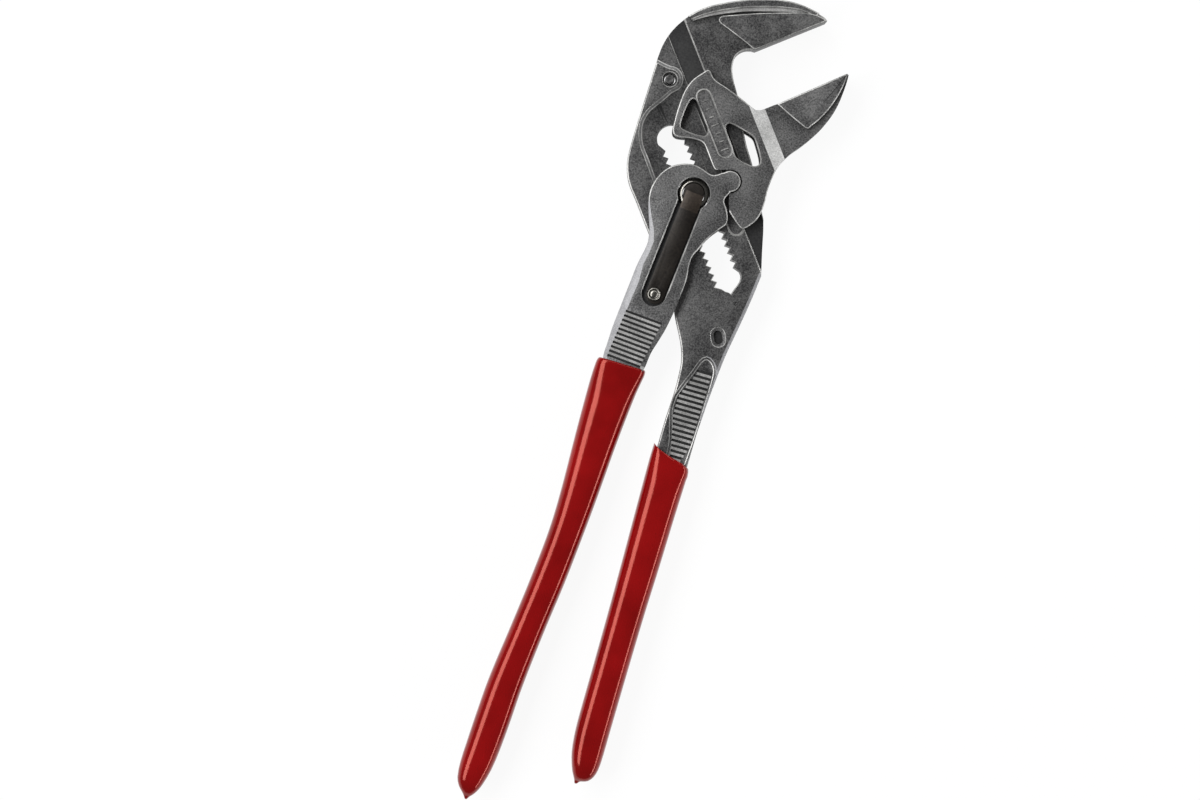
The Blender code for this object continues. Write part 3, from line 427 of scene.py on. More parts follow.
BLASTED_GRAIN = 2100.0
blasted_steel = speckled("blasted_steel", (0.018, 0.018, 0.019), (0.125, 0.124, 0.123), 0.48, 0.5,
                         grain=BLASTED_GRAIN, smear=0.3)
# Edges and raised marks: steel rubbed bright by wear, and painted lighter still as a painted highlight.
rubbed_and_highlight_steel = speckled("rubbed_and_highlight_steel", (0.15, 0.15, 0.147), (0.62, 0.615, 0.60), 0.42, 0.5, bump=0.15,
                        smear=0.6)
# Painted shade: dark steel on the floors of recesses, grooves and marks, where shade falls.
painted_shade_steel = speckled("painted_shade_steel", (0.020, 0.020, 0.021), (0.042, 0.042, 0.042), 0.40, 0.5, grain=1500.0,
                       bump=0.10)
# Painted highlight: a light steel on the tops of the ribs and on the rim's shelf, for the light they catch.
top_highlight_steel = speckled("top_highlight_steel", (0.20, 0.20, 0.195), (0.42, 0.415, 0.41), 0.45, 0.4, bump=0.3)
# Painted highlight: a pale steel for the broad sloping flanks, for the light that falls on them.
flank_highlight_steel = speckled("flank_highlight_steel", (0.20, 0.20, 0.208), (0.35, 0.35, 0.362), 0.5, 0.3, bump=0.2)
# Painted highlight: a lighter grey for the ledge where the face round the slot steps down.
ledge_highlight_steel = speckled("ledge_highlight_steel", (0.09, 0.09, 0.09), (0.20, 0.20, 0.20), 0.5, 0.4, bump=0.2)


def settle(made, body, nodes, finishes, pick=None):
    """Gives the piece its finishes, its shading and its place in the tool."""
    made.data.materials.clear()
    for finish in finishes:
        made.data.materials.append(finish)
    mesh = bmesh.new()
    mesh.from_mesh(made.data)
    bmesh.ops.remove_doubles(mesh, verts=mesh.verts, dist=MM * 2e-3)
    bmesh.ops.dissolve_degenerate(mesh, edges=mesh.edges, dist=MM * 1e-3)
    bmesh.ops.triangulate(mesh, faces=[face for face in mesh.faces if len(face.verts) > 4])
    for face in mesh.faces:
        lean = abs(face.normal.z)
        face.smooth = lean < 0.999
        face.material_index = 0
        if pick:
            face.material_index = pick(face, lean)
    mesh.to_mesh(made.data)
    mesh.free()
    made.data.set_sharp_from_angle(angle=math.radians(42))
    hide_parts(*nodes)
    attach(made, body)


def lever_finish(face, lean):
    """Picks the finish of one face from where it lies and how flat it lies."""
    spot = face_spot(face)
    height = abs(spot.z)
    across = slide_place(spot)[1]
    # The slide track's floor is painted dark: painted shade.
    if lean > 0.99 and TRACK[0] < across < TRACK[1] and abs(height - TRACK_FLOOR) < 0.01:
        return 2
    # The grooves between the shank's ribs are painted dark: painted shade.
    if height < RIB_FLOOR - 0.02 and spot.y < -50.0 and 12.0 < spot.x < 21.05:
        return 2
    # The tops of the shank's ribs are painted light: a painted highlight.
    if lean > 0.99 and spot.y < -52.0 and abs(height - RIB_FLOOR - 0.05) < 0.01:
        return 3
    # The pin's dish and the oval pocket's floor are painted dark: painted shade.
    if (Vector(pin_spot) - spot.xy).length < 2.2 or height < PLATE - 0.55 and -43.5 < spot.y < -38.0:
        return 2
    # The ledge of the step round the slot is painted lighter: a painted highlight.
    if lean > 0.99 and PLATE - 0.26 < height < PLATE - 0.19 and spot.y > 0:
        return 5
    # The rim's shelf is painted light: a painted highlight.
    if lean > 0.99 and abs(height - SHELF_FACE) < 0.01:
        return 3
    # The shank's sloping right edge is painted pale: a painted highlight.
    if 0.87 < lean < 0.9 and spot.x > 18.0:
        return 4
    # The punch marks are painted dark: painted shade.
    if any((Vector(punch) - spot.xy).length < 0.7 for punch in punches):
        return 2
    # Sloping faces, mostly the rounded edges, are worn bright and also painted lighter: a painted highlight.
    return 1 if 0.2 < lean < 0.99 else 0


settle(lever, "fixed_lever", ["fixed_jaw_lever"],
       [blasted_steel, rubbed_and_highlight_steel, painted_shade_steel, top_highlight_steel, flank_highlight_steel, ledge_highlight_steel], lever_finish)

# The stop pin is a short turned pin of hard steel, pressed into a dished hole by the lever's back edge.
# Its end is slightly crowned and lies just under the lever's face.
PIN_FACE = PLATE - 0.4
PIN_RADIUS = 1.45
pin = bmesh.new()
bmesh.ops.create_cone(pin, cap_ends=True, segments=40, radius1=PIN_RADIUS * MM, radius2=PIN_RADIUS * MM,
                      depth=2 * PIN_FACE * MM, matrix=Matrix.Translation(place(*pin_spot, 0)))
rims = [line for line in pin.edges if abs(line.verts[0].co.z - line.verts[1].co.z) < 1e-7]
bmesh.ops.bevel(pin, geom=rims, offset=0.3 * MM, segments=3, profile=0.5, affect="EDGES", material=-1)
pin_ends = [face for face in pin.faces if abs(face.normal.z) > 0.99]
bmesh.ops.inset_region(pin, faces=pin_ends, thickness=0.25 * MM, depth=-0.08 * MM)
settle(as_object("pin", pin), "fixed_lever", ["stop_pin"], [blasted_steel])

# The pivot lever is the second forging: two cheeks that straddle the first lever, a rounded lobe that drives
# the jaw, a ribbed neck and the left handle's steel. A long trough is milled in its face for the leaf spring.
# Heights of the cheeks' outer and inner faces over the middle plane.
CHEEK = 6.8
CHEEK_INNER = 3.9
pivot_left = [(-11.8, -62.5), (-13.2, -56.6), (-13.1, -50.9), (-12.9, -46.0), (-12.4, -40.9),
              (-11.9, -35.8), (-11.4, -30.9), (-10.8, -25.4), (-9.9, -20.9), (-9.6, -17.8), (-10.1, -14.6),
              (-11.7, -10.0), (-13.0, -5.6), (-13.3, -2.4), (-12.5, 1.4), (-11.0, 4.2), (-8.8, 6.5),
              (-5.6, 8.1), (-2.5, 8.7), (-0.6, 8.5), (1.3, 7.9), (3.1, 7.3), (4.5, 7.3), (5.8, 8.0),
              (6.9, 8.95)]
# The lobe is an arc of 209 degrees, clockwise from 137 degrees.
LOBE_ACROSS = 11.9
LOBE_RADIUS = 3.3
lobe_middle = slid(0.6, LOBE_ACROSS)
lobe_turns = [math.radians(137 - 209 * step / 24) for step in range(25)]
lobe = [(lobe_middle[0] + LOBE_RADIUS * math.cos(turn), lobe_middle[1] + LOBE_RADIUS * math.sin(turn))
        for turn in lobe_turns]
pivot_right = [(10.9, 3.5), (10.2, 2.2), (9.75, 1.2), (9.85, 0.1), (10.7, -1.1), (11.6, -2.6), (12.3, -4.6),
               (12.35, -6.3), (11.0, -8.2), (9.1, -10.6), (7.4, -13.4), (6.2, -16.3), (5.1, -18.5),
               (4.75, -21.2), (5.2, -26.4), (4.8, -31.5), (4.2, -36.8), (3.1, -43.1), (2.1, -46.8),
               (0.8, -51.4), (0.1, -56.6), (-1.8, -62.5)]
pivot_outline = drawn(pivot_left) + lobe + drawn(pivot_right) + [pivot_right[-1]]
pivot = solid("pivot_forging", (pivot_outline, plate_levels(-CHEEK, CHEEK, 0.38)))
# The lever's left edge is a broad sloping flank.
flank = [(-30.0, -2.0), (-15.3, -2.4), (-14.6, -5.6), (-12.7, -10.0), (-10.5, -14.6), (-9.6, -17.8),
         (-9.9, -20.9), (-10.8, -25.4), (-11.4, -30.9), (-11.9, -35.8), (-12.8, -40.9), (-14.0, -46.0),
         (-30.0, -46.0)]
carve(pivot, solid("flank", *both_faces(flank, [(CHEEK - 1.1, -0.3), (CHEEK, 1.7), (CHEEK + 0.5, 2.6)])))


def milled(name, section, travel):
    """A cutter for both faces: a section of corners carried along one straight line."""
    mesh = bmesh.new()
    for side in (1, -1):
        face = mesh.faces.new([mesh.verts.new(place(x, y, side * height)) for x, y, height in section])
        far = bmesh.ops.extrude_face_region(mesh, geom=[face])["geom"]
        bmesh.ops.translate(mesh, vec=Vector((travel.x, travel.y, side * travel.z)),
                            verts=[part for part in far if isinstance(part, bmesh.types.BMVert)])
    bmesh.ops.recalc_face_normals(mesh, faces=mesh.faces)
    return as_object(name, mesh)


# The neck tapers from the cheeks' thickness to that of its foot, and its left edge is dressed to a flat.
TAPER_START = 31.0
TAPER_END = 55.5
NECK_FACE = 4.8
taper = [(-40, -TAPER_START, CHEEK), (-40, -TAPER_END, NECK_FACE), (-40, -66.0, NECK_FACE), (-40, -66.0, 8.5),
         (-40, -TAPER_START, 8.5)]
carve(pivot, milled("neck_taper", taper, Vector((80 * MM, 0, 0))))
dressed = [(x, -24.0, height) for x, height in ((-7.55, 7.65), (-12.08, 5.14), (-20.0, 5.14), (-20.0, 9.98),
                                                (-7.55, 9.98))]
carve(pivot, milled("dressed_edge", dressed, Vector((-5.08, -40.0, -3.26)) * MM))
left_tang = [(-7.1, -54.3), (-8.6, -104.7), (-12.5, -148.0), (-15.5, -186.0)]
tang = ([(x - TANG_HALF_WIDTH, y) for x, y in left_tang]
        + [(x + TANG_HALF_WIDTH, y) for x, y in reversed(left_tang)])
carve(pivot, solid("left_tang", (tang, [(-TANG_FACE, 0), (TANG_FACE, 0)])), "UNION")
# The gap between the cheeks takes the fixed lever, and ends at a web above the neck.
web = [(5.0, -18.0), (13.0, -19.4), (27.0, -21.5), (33.0, -23.2), (38.0, -26.2), (44.0, -30.9)]
joint_gap = [slid(-56.6, -18.0)] + [slid(*spot) for spot in web] + [slid(44.0, 56.6), slid(-56.6, 56.6)]
carve(pivot, solid("joint_gap", (joint_gap, [(-CHEEK_INNER, 0), (CHEEK_INNER, 0)])))
carve(pivot, solid("bolt_hole", (disc((0, 0), 5.14, 64), through_levels(CHEEK, 0.18))))
TROUGH_LEAN = math.radians(5.8)
TROUGH_FLOOR = CHEEK - 1.9
trough_end = tuple(Vector((-math.sin(TROUGH_LEAN), -math.cos(TROUGH_LEAN))) * 33.6)
trough = stadium((0, 0), trough_end, 3.8, 24)
carve(pivot, solid("spring_trough", (trough, mouth_levels(TROUGH_FLOOR, CHEEK, 0.4))))
carve(pivot, solid("rivet_hole", (disc(trough_end, 1.3, 24), [(TROUGH_FLOOR - 2.5, 0), (CHEEK, 0)])))
# The neck's ribs follow its taper.
NECK_TAPER = (CHEEK - NECK_FACE) / (TAPER_END - TAPER_START)
NECK_RIB_PITCH = 1.47
FIRST_NECK_GAP = 41.2
gap_rows, cap_rows = [], []
for rib in range(11):
    for rows, half, inside in ((gap_rows, 0.0, 0.0), (cap_rows, 0.5, 0.1)):
        down = FIRST_NECK_GAP + NECK_RIB_PITCH * (rib + half)
        left = -10.3 - 0.125 * (down - 41.0) + inside
        right = 1.6 - 0.19 * (down - 41.0) - inside
        height = CHEEK - NECK_TAPER * (down - TAPER_START) - 0.1
        for side in (1, -1):
            rows.append(((left, -down + 0.45), (right, -down - 0.45), side * height))
carve(pivot, bars("neck_gaps", gap_rows, 0.9, 0.66, math.atan(NECK_TAPER)))
carve(pivot, bars("neck_ribs", cap_rows, 0.3, 0.7, math.atan(NECK_TAPER)), "UNION")


def pivot_finish(face, lean):
    """Picks the finish of one face from where it lies and how flat it lies."""
    spot = face_spot(face)
    height = abs(spot.z)
    rise = height - (CHEEK - NECK_TAPER * (-spot.y - TAPER_START))
    # The lever's sloping left flank is painted pale: a painted highlight.
    if 0.85 < lean < 0.9:
        return 4
    if -57.0 < spot.y < -40.6 and height > CHEEK_INNER:
        # The grooves between the neck's ribs are painted dark: painted shade.
        if rise < -0.03 and -12.9 < spot.x < 1.6:
            return 2
        # The tops of the neck's ribs are painted light: a painted highlight.
        if rise > 0.03:
            return 3
    # The spring trough's floor is painted dark: painted shade.
    if lean > 0.99 and abs(spot.z - TROUGH_FLOOR) < 0.01:
        return 2
    # Sloping faces, mostly the rounded edges, are worn bright and also painted lighter: a painted highlight.
    return 1 if 0.2 < lean < 0.99 else 0


cheek_steel = speckled("cheek_steel", (0.024, 0.024, 0.025), (0.155, 0.154, 0.153), 0.48, 0.5,
                       grain=BLASTED_GRAIN, smear=0.3)
settle(pivot, "swing_lever", ["pivot_lever"],
       [cheek_steel, rubbed_and_highlight_steel, painted_shade_steel, top_highlight_steel, flank_highlight_steel], pivot_finish)

# The leaf spring is a strip of blackened spring steel in the trough. It steps up over the end of the bolt and
# is held at its foot by one rivet, and its long edges are broken.
spring = bmesh.new()
spring.from_mesh(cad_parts["leaf_spring"].data)
bmesh.ops.remove_doubles(spring, verts=spring.verts, dist=MM * 1e-3)
bmesh.ops.dissolve_limit(spring, angle_limit=math.radians(1), verts=spring.verts, edges=spring.edges)
corners = [line for line in spring.edges if line.is_manifold and line.calc_face_angle() > math.radians(60)]
bmesh.ops.bevel(spring, geom=corners, offset=0.22 * MM, segments=2, profile=0.5, affect="EDGES", material=-1,
                clamp_overlap=True)
pad_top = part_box("leaf_spring")[1].z
SPRING_GRAIN = 1600.0
spring_steel = speckled("spring_steel", (0.009, 0.007, 0.006), (0.022, 0.018, 0.014), 0.42, 0.5,
                        grain=SPRING_GRAIN, bump=0.1)
# Bare steel where the edges are broken, painted lighter still as a painted highlight.
spring_bare_edge_and_highlight = speckled("spring_bare_edge_and_highlight", (0.10, 0.09, 0.075), (0.22, 0.20, 0.17), 0.36, 0.6,
                       grain=SPRING_GRAIN, bump=0.1)
spring_pad = speckled("spring_pad", (0.024, 0.018, 0.014), (0.050, 0.038, 0.029), 0.40, 0.5,
                      grain=SPRING_GRAIN, bump=0.1)


def spring_finish(face, lean):
    """Picks brighter steel, bare and also a painted highlight, for the broken edges, and a paler one for the
    end over the bolt.
    """
    if 0.3 < lean < 0.9:
        return 1
    return 2 if pad_top - face.calc_center_median().z < 0.1 * MM else 0


settle(as_object("spring_strip", spring), "swing_lever", ["leaf_spring"],
       [spring_steel, spring_bare_edge_and_highlight, spring_pad], spring_finish)

# The rivet that holds the spring's foot is a small bright steel rivet, its head pressed into a ring with a
# polished dome at its middle.
bright_steel = speckled("bright_steel", (0.16, 0.155, 0.14), (0.27, 0.26, 0.24), 0.24, 1.0, grain=1800.0,
                        bump=0.03)


def turned(name, profile, middle=(0, 0), steps=48, closed=False):
    """A piece spun about an upright axis, from a profile of radii and heights."""
    mesh = bmesh.new()
    spots = [mesh.verts.new(place(middle[0] + radius, middle[1], height)) for radius, height in profile]
    lines = [mesh.edges.new(pair) for pair in zip(spots, spots[1:] + (spots[:1] if closed else []))]
    bmesh.ops.spin(mesh, geom=spots + lines, cent=place(*middle, 0), axis=(0, 0, 1), angle=math.tau,
                   steps=steps, use_merge=True)
    bmesh.ops.remove_doubles(mesh, verts=mesh.verts, dist=MM * 1e-3)
    bmesh.ops.recalc_face_normals(mesh, faces=mesh.faces)
    return as_object(name, mesh)


seat = (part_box("spring_rivet")[1].z - HINGE.z) / MM - 0.9
rivet_profile = [(0.0, seat), (2.1, seat), (2.15, seat + 0.08), (2.12, seat + 0.3), (1.95, seat + 0.5),
                 (1.7, seat + 0.6), (1.5, seat + 0.52), (1.4, seat + 0.4), (1.3, seat + 0.5),
                 (1.1, seat + 0.7), (0.7, seat + 0.85), (0.0, seat + 0.9)]
rivet = turned("rivet_head", rivet_profile, trough_end, 40)
settle(rivet, "swing_lever", ["spring_rivet"], [bright_steel])

# The hinge bolt is turned from hard steel and ground bright: a crowned ring round a bore, with two flats at
# the middle of its length that pass between the slot's teeth.
bolt_profile = [(3.5, 5.46), (3.58, 5.56), (3.8, 5.54), (4.1, 5.44), (4.4, 5.26), (4.65, 5.04), (4.82, 4.84),
                (4.9, 4.6), (4.9, -5.4), (4.6, -6.1), (4.1, -6.4), (3.5, -6.4)]
bolt = turned("bolt_sleeve", bolt_profile, steps=72, closed=True)
# Each flat starts 2.85 mm from the slot's middle line, 0.3 mm clear of the teeth.
flats = [(strip(slid(-10, across), slid(10, across), 3.5), [(-3.75, 0), (3.75, 0)])
         for across in (6.35, -6.35)]
carve(bolt, solid("bolt_flats", *flats))
settle(bolt, "carriage", ["hinge_bolt"], [bright_steel])

# The locking pin runs through the bolt. Its dark flat head fills the middle of the bolt's end, and the
# button on the far side pushes it.
pin_foot = (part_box("locking_pin")[0].z - HINGE.z) / MM
pin_profile = [(0.0, 5.36), (1.6, 5.365), (3.1, 5.38), (3.26, 5.34), (3.3, 5.24), (3.3, 4.5), (1.6, 4.5),
               (1.6, pin_foot), (0.0, pin_foot)]
settle(turned("pin_head", pin_profile), "lock", ["locking_pin"], [spring_steel])

# The push button is a turned steel cap with a shallow thumb dish, on the far side of the bolt.
# It is pressed to free the bolt when the jaw is set to another tooth.
button_foot = (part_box("push_button")[0].z - HINGE.z) / MM
button_profile = [(0.0, button_foot + 0.3), (1.4, button_foot + 0.22), (2.3, button_foot),
                  (2.75, button_foot + 0.04), (3.08, button_foot + 0.25), (3.2, button_foot + 0.6),
                  (3.2, button_foot + 1.9), (1.9, button_foot + 1.9), (1.9, button_foot + 0.85),
                  (0.0, button_foot + 0.85)]
# The cap takes the rubbed steel, whose light colour is partly a painted highlight.
settle(turned("button_cap", button_profile), "lock", ["push_button"], [rubbed_and_highlight_steel])

# The sliding jaw is the third forging: two cheeks with windows straddle the fixed lever, a bright machined
# ramp leads down to the jaw's body, and a socket takes the pivot lever's lobe.
JAW_BODY = 4.8
jaw_left = [(11.4, 30.4), (10.0, 30.8), (8.2, 31.6), (4.4, 33.2), (0.9, 34.5), (-2.3, 35.5), (-3.6, 36.1),
            (-4.6, 37.0), (-5.4, 38.0), (-6.2, 38.3), (-7.0, 37.7), (-7.9, 36.6), (-9.6, 34.6),
            (-10.9, 32.0), (-11.6, 29.3), (-11.9, 26.3), (-12.0, 23.0), (-11.95, 19.5), (-11.8, 17.6),
            (-11.3, 16.3), (-10.2, 15.7), (-8.6, 15.8), (-7.0, 16.1), (-5.1, 16.3), (-2.8, 16.3),
            (-1.4, 15.9), (-0.4, 14.9), (1.1, 12.9), (3.0, 10.4), (4.2, 9.1), (5.8, 8.8)]
jaw_foot = [(10.8, -1.0), (13.6, -3.7), (16.4, -6.0), (17.5, -6.4), (18.4, -5.9), (20.0, -4.1),
            (21.1, -2.3), (21.8, 0.2), (22.0, 3.2), (21.9, 6.5), (22.0, 9.7), (22.4, 12.8), (23.2, 15.6),
            (24.3, 18.1), (25.8, 20.6), (28.1, 23.4), (30.4, 26.6), (32.7, 30.4), (34.6, 34.8),
            (35.7, 39.1), (36.2, 43.5), (36.35, 46.7), (36.3, 48.8)]
jaw_outline = drawn(jaw_left, [(5.8, 8.8), (6.36, 7.06)], [(6.36, 7.06), (9.44, 2.07)],
                    [(9.44, 2.07), (10.8, -1.0)], jaw_foot, [(36.3, 48.8), (35.7, 49.1)],
                    [(35.7, 49.1), (17.2, 33.9)],
                    [(17.2, 33.9), (16.6, 33.5), (14.4, 31.8), (12.8, 30.7), (11.4, 30.4)])
jaw = solid("jaw_forging", (jaw_outline, plate_levels(-CHEEK, CHEEK, 0.36)))
RAMP_TOP = 26.0
RAMP_FOOT = 30.4
ramp = [(*slid(-60, across), height) for across, height in ((RAMP_TOP, CHEEK), (RAMP_FOOT, JAW_BODY),
                                                            (64.0, JAW_BODY), (64.0, 8.5), (RAMP_TOP, 8.5))]
carve(jaw, milled("jaw_ramp", ramp, place(*slid(120, 0), 0) - HINGE))
jaw_pad = drawn([(17.35, 33.9), (22.6, 31.4), (27.7, 29.2)], [(27.7, 29.2), (28.7, 29.2), (29.3, 30.1)],
                [(29.3, 30.1), (31.2, 32.8), (33.4, 37.2), (34.8, 41.3), (35.6, 45.0), (35.9, 48.9)],
                [(35.9, 48.9), (35.6, 48.9)], [(35.6, 48.9), (17.35, 33.9)])
carve(jaw, solid("jaw_tip_pad", (jaw_pad, plate_levels(-RAISED, RAISED, 0.35))), "UNION")
# The gap between the cheeks takes the fixed lever, less two ribs that run in its slide track.
wall = [(-58.4, 32.6), (-23.4, 32.6), (-17.5, 30.3), (-14.8, 27.9), (-12.0, 25.6)]
gap_outline = [slid(-58.4, -58.4)] + [slid(*spot) for spot in wall] + [slid(58.4, 25.6), slid(58.4, -58.4)]
jaw_gap = solid("jaw_gap", (gap_outline, [(-CHEEK_INNER, 0), (CHEEK_INNER, 0)]))
guide = [slid(-120, 11.2), slid(-120, 16.85), slid(120, 16.85), slid(120, 11.2)]
carve(jaw_gap, solid("guide_ribs", *both_faces(guide, [(2.9, 0), (4.4, 0)])))
carve(jaw, jaw_gap)
# The socket is the room that the pivot lever's shoulder and lobe need over the whole swing. Closing the
# handles lifts the jaw and opening them lowers it, so each cut is moved the other way by as much.
SOCKET_GAP = 0.4
# The cuts go from 1.6 degrees of closing to 20 degrees of opening.
SWING_STEPS = 6
shoulder = (drawn([(-11.0, 4.2), (-8.8, 6.5), (-5.6, 8.1), (-2.5, 8.7), (-0.6, 8.5), (1.3, 7.9), (3.1, 7.3),
                   (4.5, 7.3)])
            + [(4.5, 7.3), (5.8, 8.0), (7.1, 9.1), (9.8, 5.0), (10.3, 2.2), (10.6, 0.4), (11.6, -2.6),
               (12.3, -4.6), (12.35, -6.3), (11.0, -8.2), (9.1, -10.6), (-9.0, -10.6)])
for step in range(SWING_STEPS + 1):
    swing = math.radians(1.6 - 21.6 * step / SWING_STEPS)
    lift = slid(LOBE_ACROSS * swing, 0)
    for swept in (grown(shoulder, SOCKET_GAP), disc(lobe_middle, LOBE_RADIUS + SOCKET_GAP, 40)):
        swept = [(x * math.cos(swing) - y * math.sin(swing) + lift[0],
                  x * math.sin(swing) + y * math.cos(swing) + lift[1]) for x, y in swept]
        carve(jaw, solid("socket_sweep", (swept, [(-CHEEK - 1, 0), (CHEEK + 1, 0)])))
small_window = softened([(-8.4, 28.6), (-9.4, 26.9), (-10.1, 19.6), (-9.0, 18.2), (-1.9, 17.8), (-0.9, 19.0),
                         (-1.5, 21.2), (-6.7, 28.0)])
large_window = softened([(4.2, 24.0), (5.6, 24.2), (11.9, 22.6), (13.3, 22.0), (14.2, 20.8), (17.2, 15.9),
                         (17.2, 14.2), (15.8, 13.3), (14.4, 13.3), (10.4, 14.0), (8.9, 15.1), (8.0, 16.7),
                         (3.6, 22.6)])
carve(jaw, solid("small_window", (small_window, through_levels(CHEEK, 0.35))))
carve(jaw, solid("large_window", (large_window, through_levels(CHEEK, 0.35))))
# A raised border, a recess and plain bars stand where the real jaw carries marks.
LABEL_ACROSS = 14.0
label = (slid(-26.9, LABEL_ACROSS), slid(-9.0, LABEL_ACROSS))
border = both_faces(stadium(*label, 2.55), [(6.2, 0), (6.85, 0), (6.98, -0.14)])
carve(jaw, solid("label_border", *border), "UNION")
carve(jaw, solid("label_recess", *both_faces(stadium(*label, 2.0), [(6.5, 0), (6.85, 0.05), (7.4, 0.6)])))
label_bars = []
for bar in range(7):
    along = -25.6 + 2.72 * bar
    reach = 1.25 if bar % 3 == 0 else 0.8
    outline = strip(slid(along, LABEL_ACROSS - reach), slid(along, LABEL_ACROSS + reach), 0.2)
    label_bars += both_faces(outline, [(6.2, 0), (6.7, 0), (6.78, -0.07)])
carve(jaw, solid("label_bars", *label_bars), "UNION")


def jaw_finish(face, lean):
    """Picks the finish of one face from where it lies and how flat it lies."""
    spot = face_spot(face)
    height = abs(spot.z)
    along, across = slide_place(spot)
    if 0.88 < lean < 0.95 and RAMP_TOP - 0.1 < across < RAMP_FOOT + 0.1:
        return 2
    # The label's raised tops and the sloping edges are worn bright and also painted lighter: a painted
    # highlight.
    on_label = abs(across - LABEL_ACROSS) < 2.9 and -29.6 < along < -6.4
    if on_label and (height > CHEEK + 0.03 or 6.6 < height < 6.79):
        return 1
    return 1 if 0.2 < lean < 0.99 else 0


ramp_steel = speckled("ramp_steel", (0.36, 0.36, 0.355), (0.74, 0.74, 0.73), 0.45, 0.5, bump=0.2)
settle(jaw, "jaw", ["sliding_jaw"], [cheek_steel, rubbed_and_highlight_steel, ramp_steel], jaw_finish)

# The grips are dipped: each handle is lowered into warm red plastic, lifted out and cured, which leaves a
# smooth glossy sleeve with a rolled lip at its top and a small drip at its end.
# Each row is a height down the handle, the sleeve's left and right edge there, and its half thickness.
right_rows = [(-77.9, 9.5, 12.6, 4.9), (-79.4, 9.45, 20.5, 5.4), (-81.5, 9.4, 22.3, 5.75),
              (-84.5, 9.4, 22.3, 5.75), (-97.0, 9.6, 22.0, 5.7), (-115.0, 9.9, 21.7, 5.7),
              (-131.0, 10.1, 21.3, 5.7), (-150.0, 10.2, 21.1, 5.7), (-167.6, 10.25, 21.0, 5.6),
              (-173.0, 10.5, 21.0, 5.5), (-177.7, 11.1, 20.95, 5.2), (-181.0, 12.0, 20.7, 4.7),
              (-183.4, 12.9, 20.0, 3.9), (-184.9, 13.7, 18.9, 2.9), (-185.6, 14.1, 17.8, 1.9),
              (-186.0, 14.3, 16.3, 1.1), (-186.6, 14.5, 15.7, 0.7), (-187.0, 14.7, 15.3, 0.3)]
left_rows = [(-56.8, -14.3, 0.5, 5.3), (-57.3, -14.7, 0.8, 5.65), (-58.8, -15.0, 0.8, 5.75),
             (-64.4, -15.2, -0.1, 5.7), (-80.0, -15.0, -1.6, 5.7), (-100.7, -14.5, -3.0, 5.7),
             (-113.0, -14.7, -4.0, 5.7), (-128.0, -16.0, -5.4, 5.7), (-144.5, -17.9, -7.4, 5.7),
             (-162.6, -20.1, -9.2, 5.7), (-175.0, -20.9, -9.9, 5.6), (-184.0, -21.3, -10.6, 5.4),
             (-190.0, -21.5, -11.4, 5.0), (-195.0, -21.1, -12.7, 4.3), (-197.6, -19.9, -13.8, 3.4),
             (-199.2, -18.4, -14.9, 2.2), (-199.9, -17.8, -15.6, 1.3), (-200.6, -17.3, -16.1, 0.8),
             (-201.05, -17.0, -16.4, 0.4)]


def row_at(rows, y):
    """The sleeve's edges and half thickness at one height, on a smooth line through its rows."""
    index = 0
    while index < len(rows) - 2 and y < rows[index + 1][0]:
        index += 1
    here, there = rows[index], rows[index + 1]
    before, after = rows[max(index - 1, 0)], rows[min(index + 2, len(rows) - 1)]
    step = there[0] - here[0]
    part = (y - here[0]) / step
    found = []
    for value in (1, 2, 3):
        start = (there[value] - before[value]) / (there[0] - before[0]) * step
        end = (after[value] - here[value]) / (after[0] - here[0]) * step
        found.append((2 * part ** 3 - 3 * part ** 2 + 1) * here[value]
                     + (part ** 3 - 2 * part ** 2 + part) * start
                     + (3 * part ** 2 - 2 * part ** 3) * there[value] + (part ** 3 - part ** 2) * end)
    return found


def dipped(name, rows, slant):
    """A sleeve drawn down its rows, with a squared-round section and its top edge on a slant."""
    heights = []
    for here, there in zip(rows, rows[1:]):
        count = max(2, round((here[0] - there[0]) / 2.5))
        heights += [here[0] + (there[0] - here[0]) * step / count for step in range(count)]
    heights.append(rows[-1][0])
    mesh = bmesh.new()
    turn = mesh.verts.layers.float.new("turn")
    ring = bmesh.ops.create_circle(mesh, cap_ends=False, segments=96, radius=1)["verts"]
    for vert in ring:
        vert[turn] = math.atan2(vert.co.y, vert.co.x)
    lines = list({line for vert in ring for line in vert.link_edges})
    for index, y in enumerate(heights):
        if index:
            made = bmesh.ops.extrude_edge_only(mesh, edges=lines)["geom"]
            ring = [part for part in made if isinstance(part, bmesh.types.BMVert)]
            lines = [part for part in made if isinstance(part, bmesh.types.BMEdge)
                     and part.verts[0] in ring and part.verts[1] in ring]
        left, right, half = row_at(rows, y)
        drop = slant * max(0.0, 1 - (rows[0][0] - y) / 40)
        # The section is nearly square at the lip and rounder 12 mm below it.
        curve = 0.45 + 0.3 * min(1.0, (rows[0][0] - y) / 12)
        for vert in ring:
            flat, up = math.cos(vert[turn]), math.sin(vert[turn])
            flat = math.copysign(abs(flat) ** curve, flat)
            up = math.copysign(abs(up) ** curve, up)
            across = (left + right) / 2 + flat * (right - left) / 2
            vert.co = place(across, y - drop * (flat + 1) / 2, up * half)
    bmesh.ops.holes_fill(mesh, edges=[line for line in mesh.edges if line.is_boundary], sides=0)
    bmesh.ops.recalc_face_normals(mesh, faces=mesh.faces)
    return as_object(name, mesh)


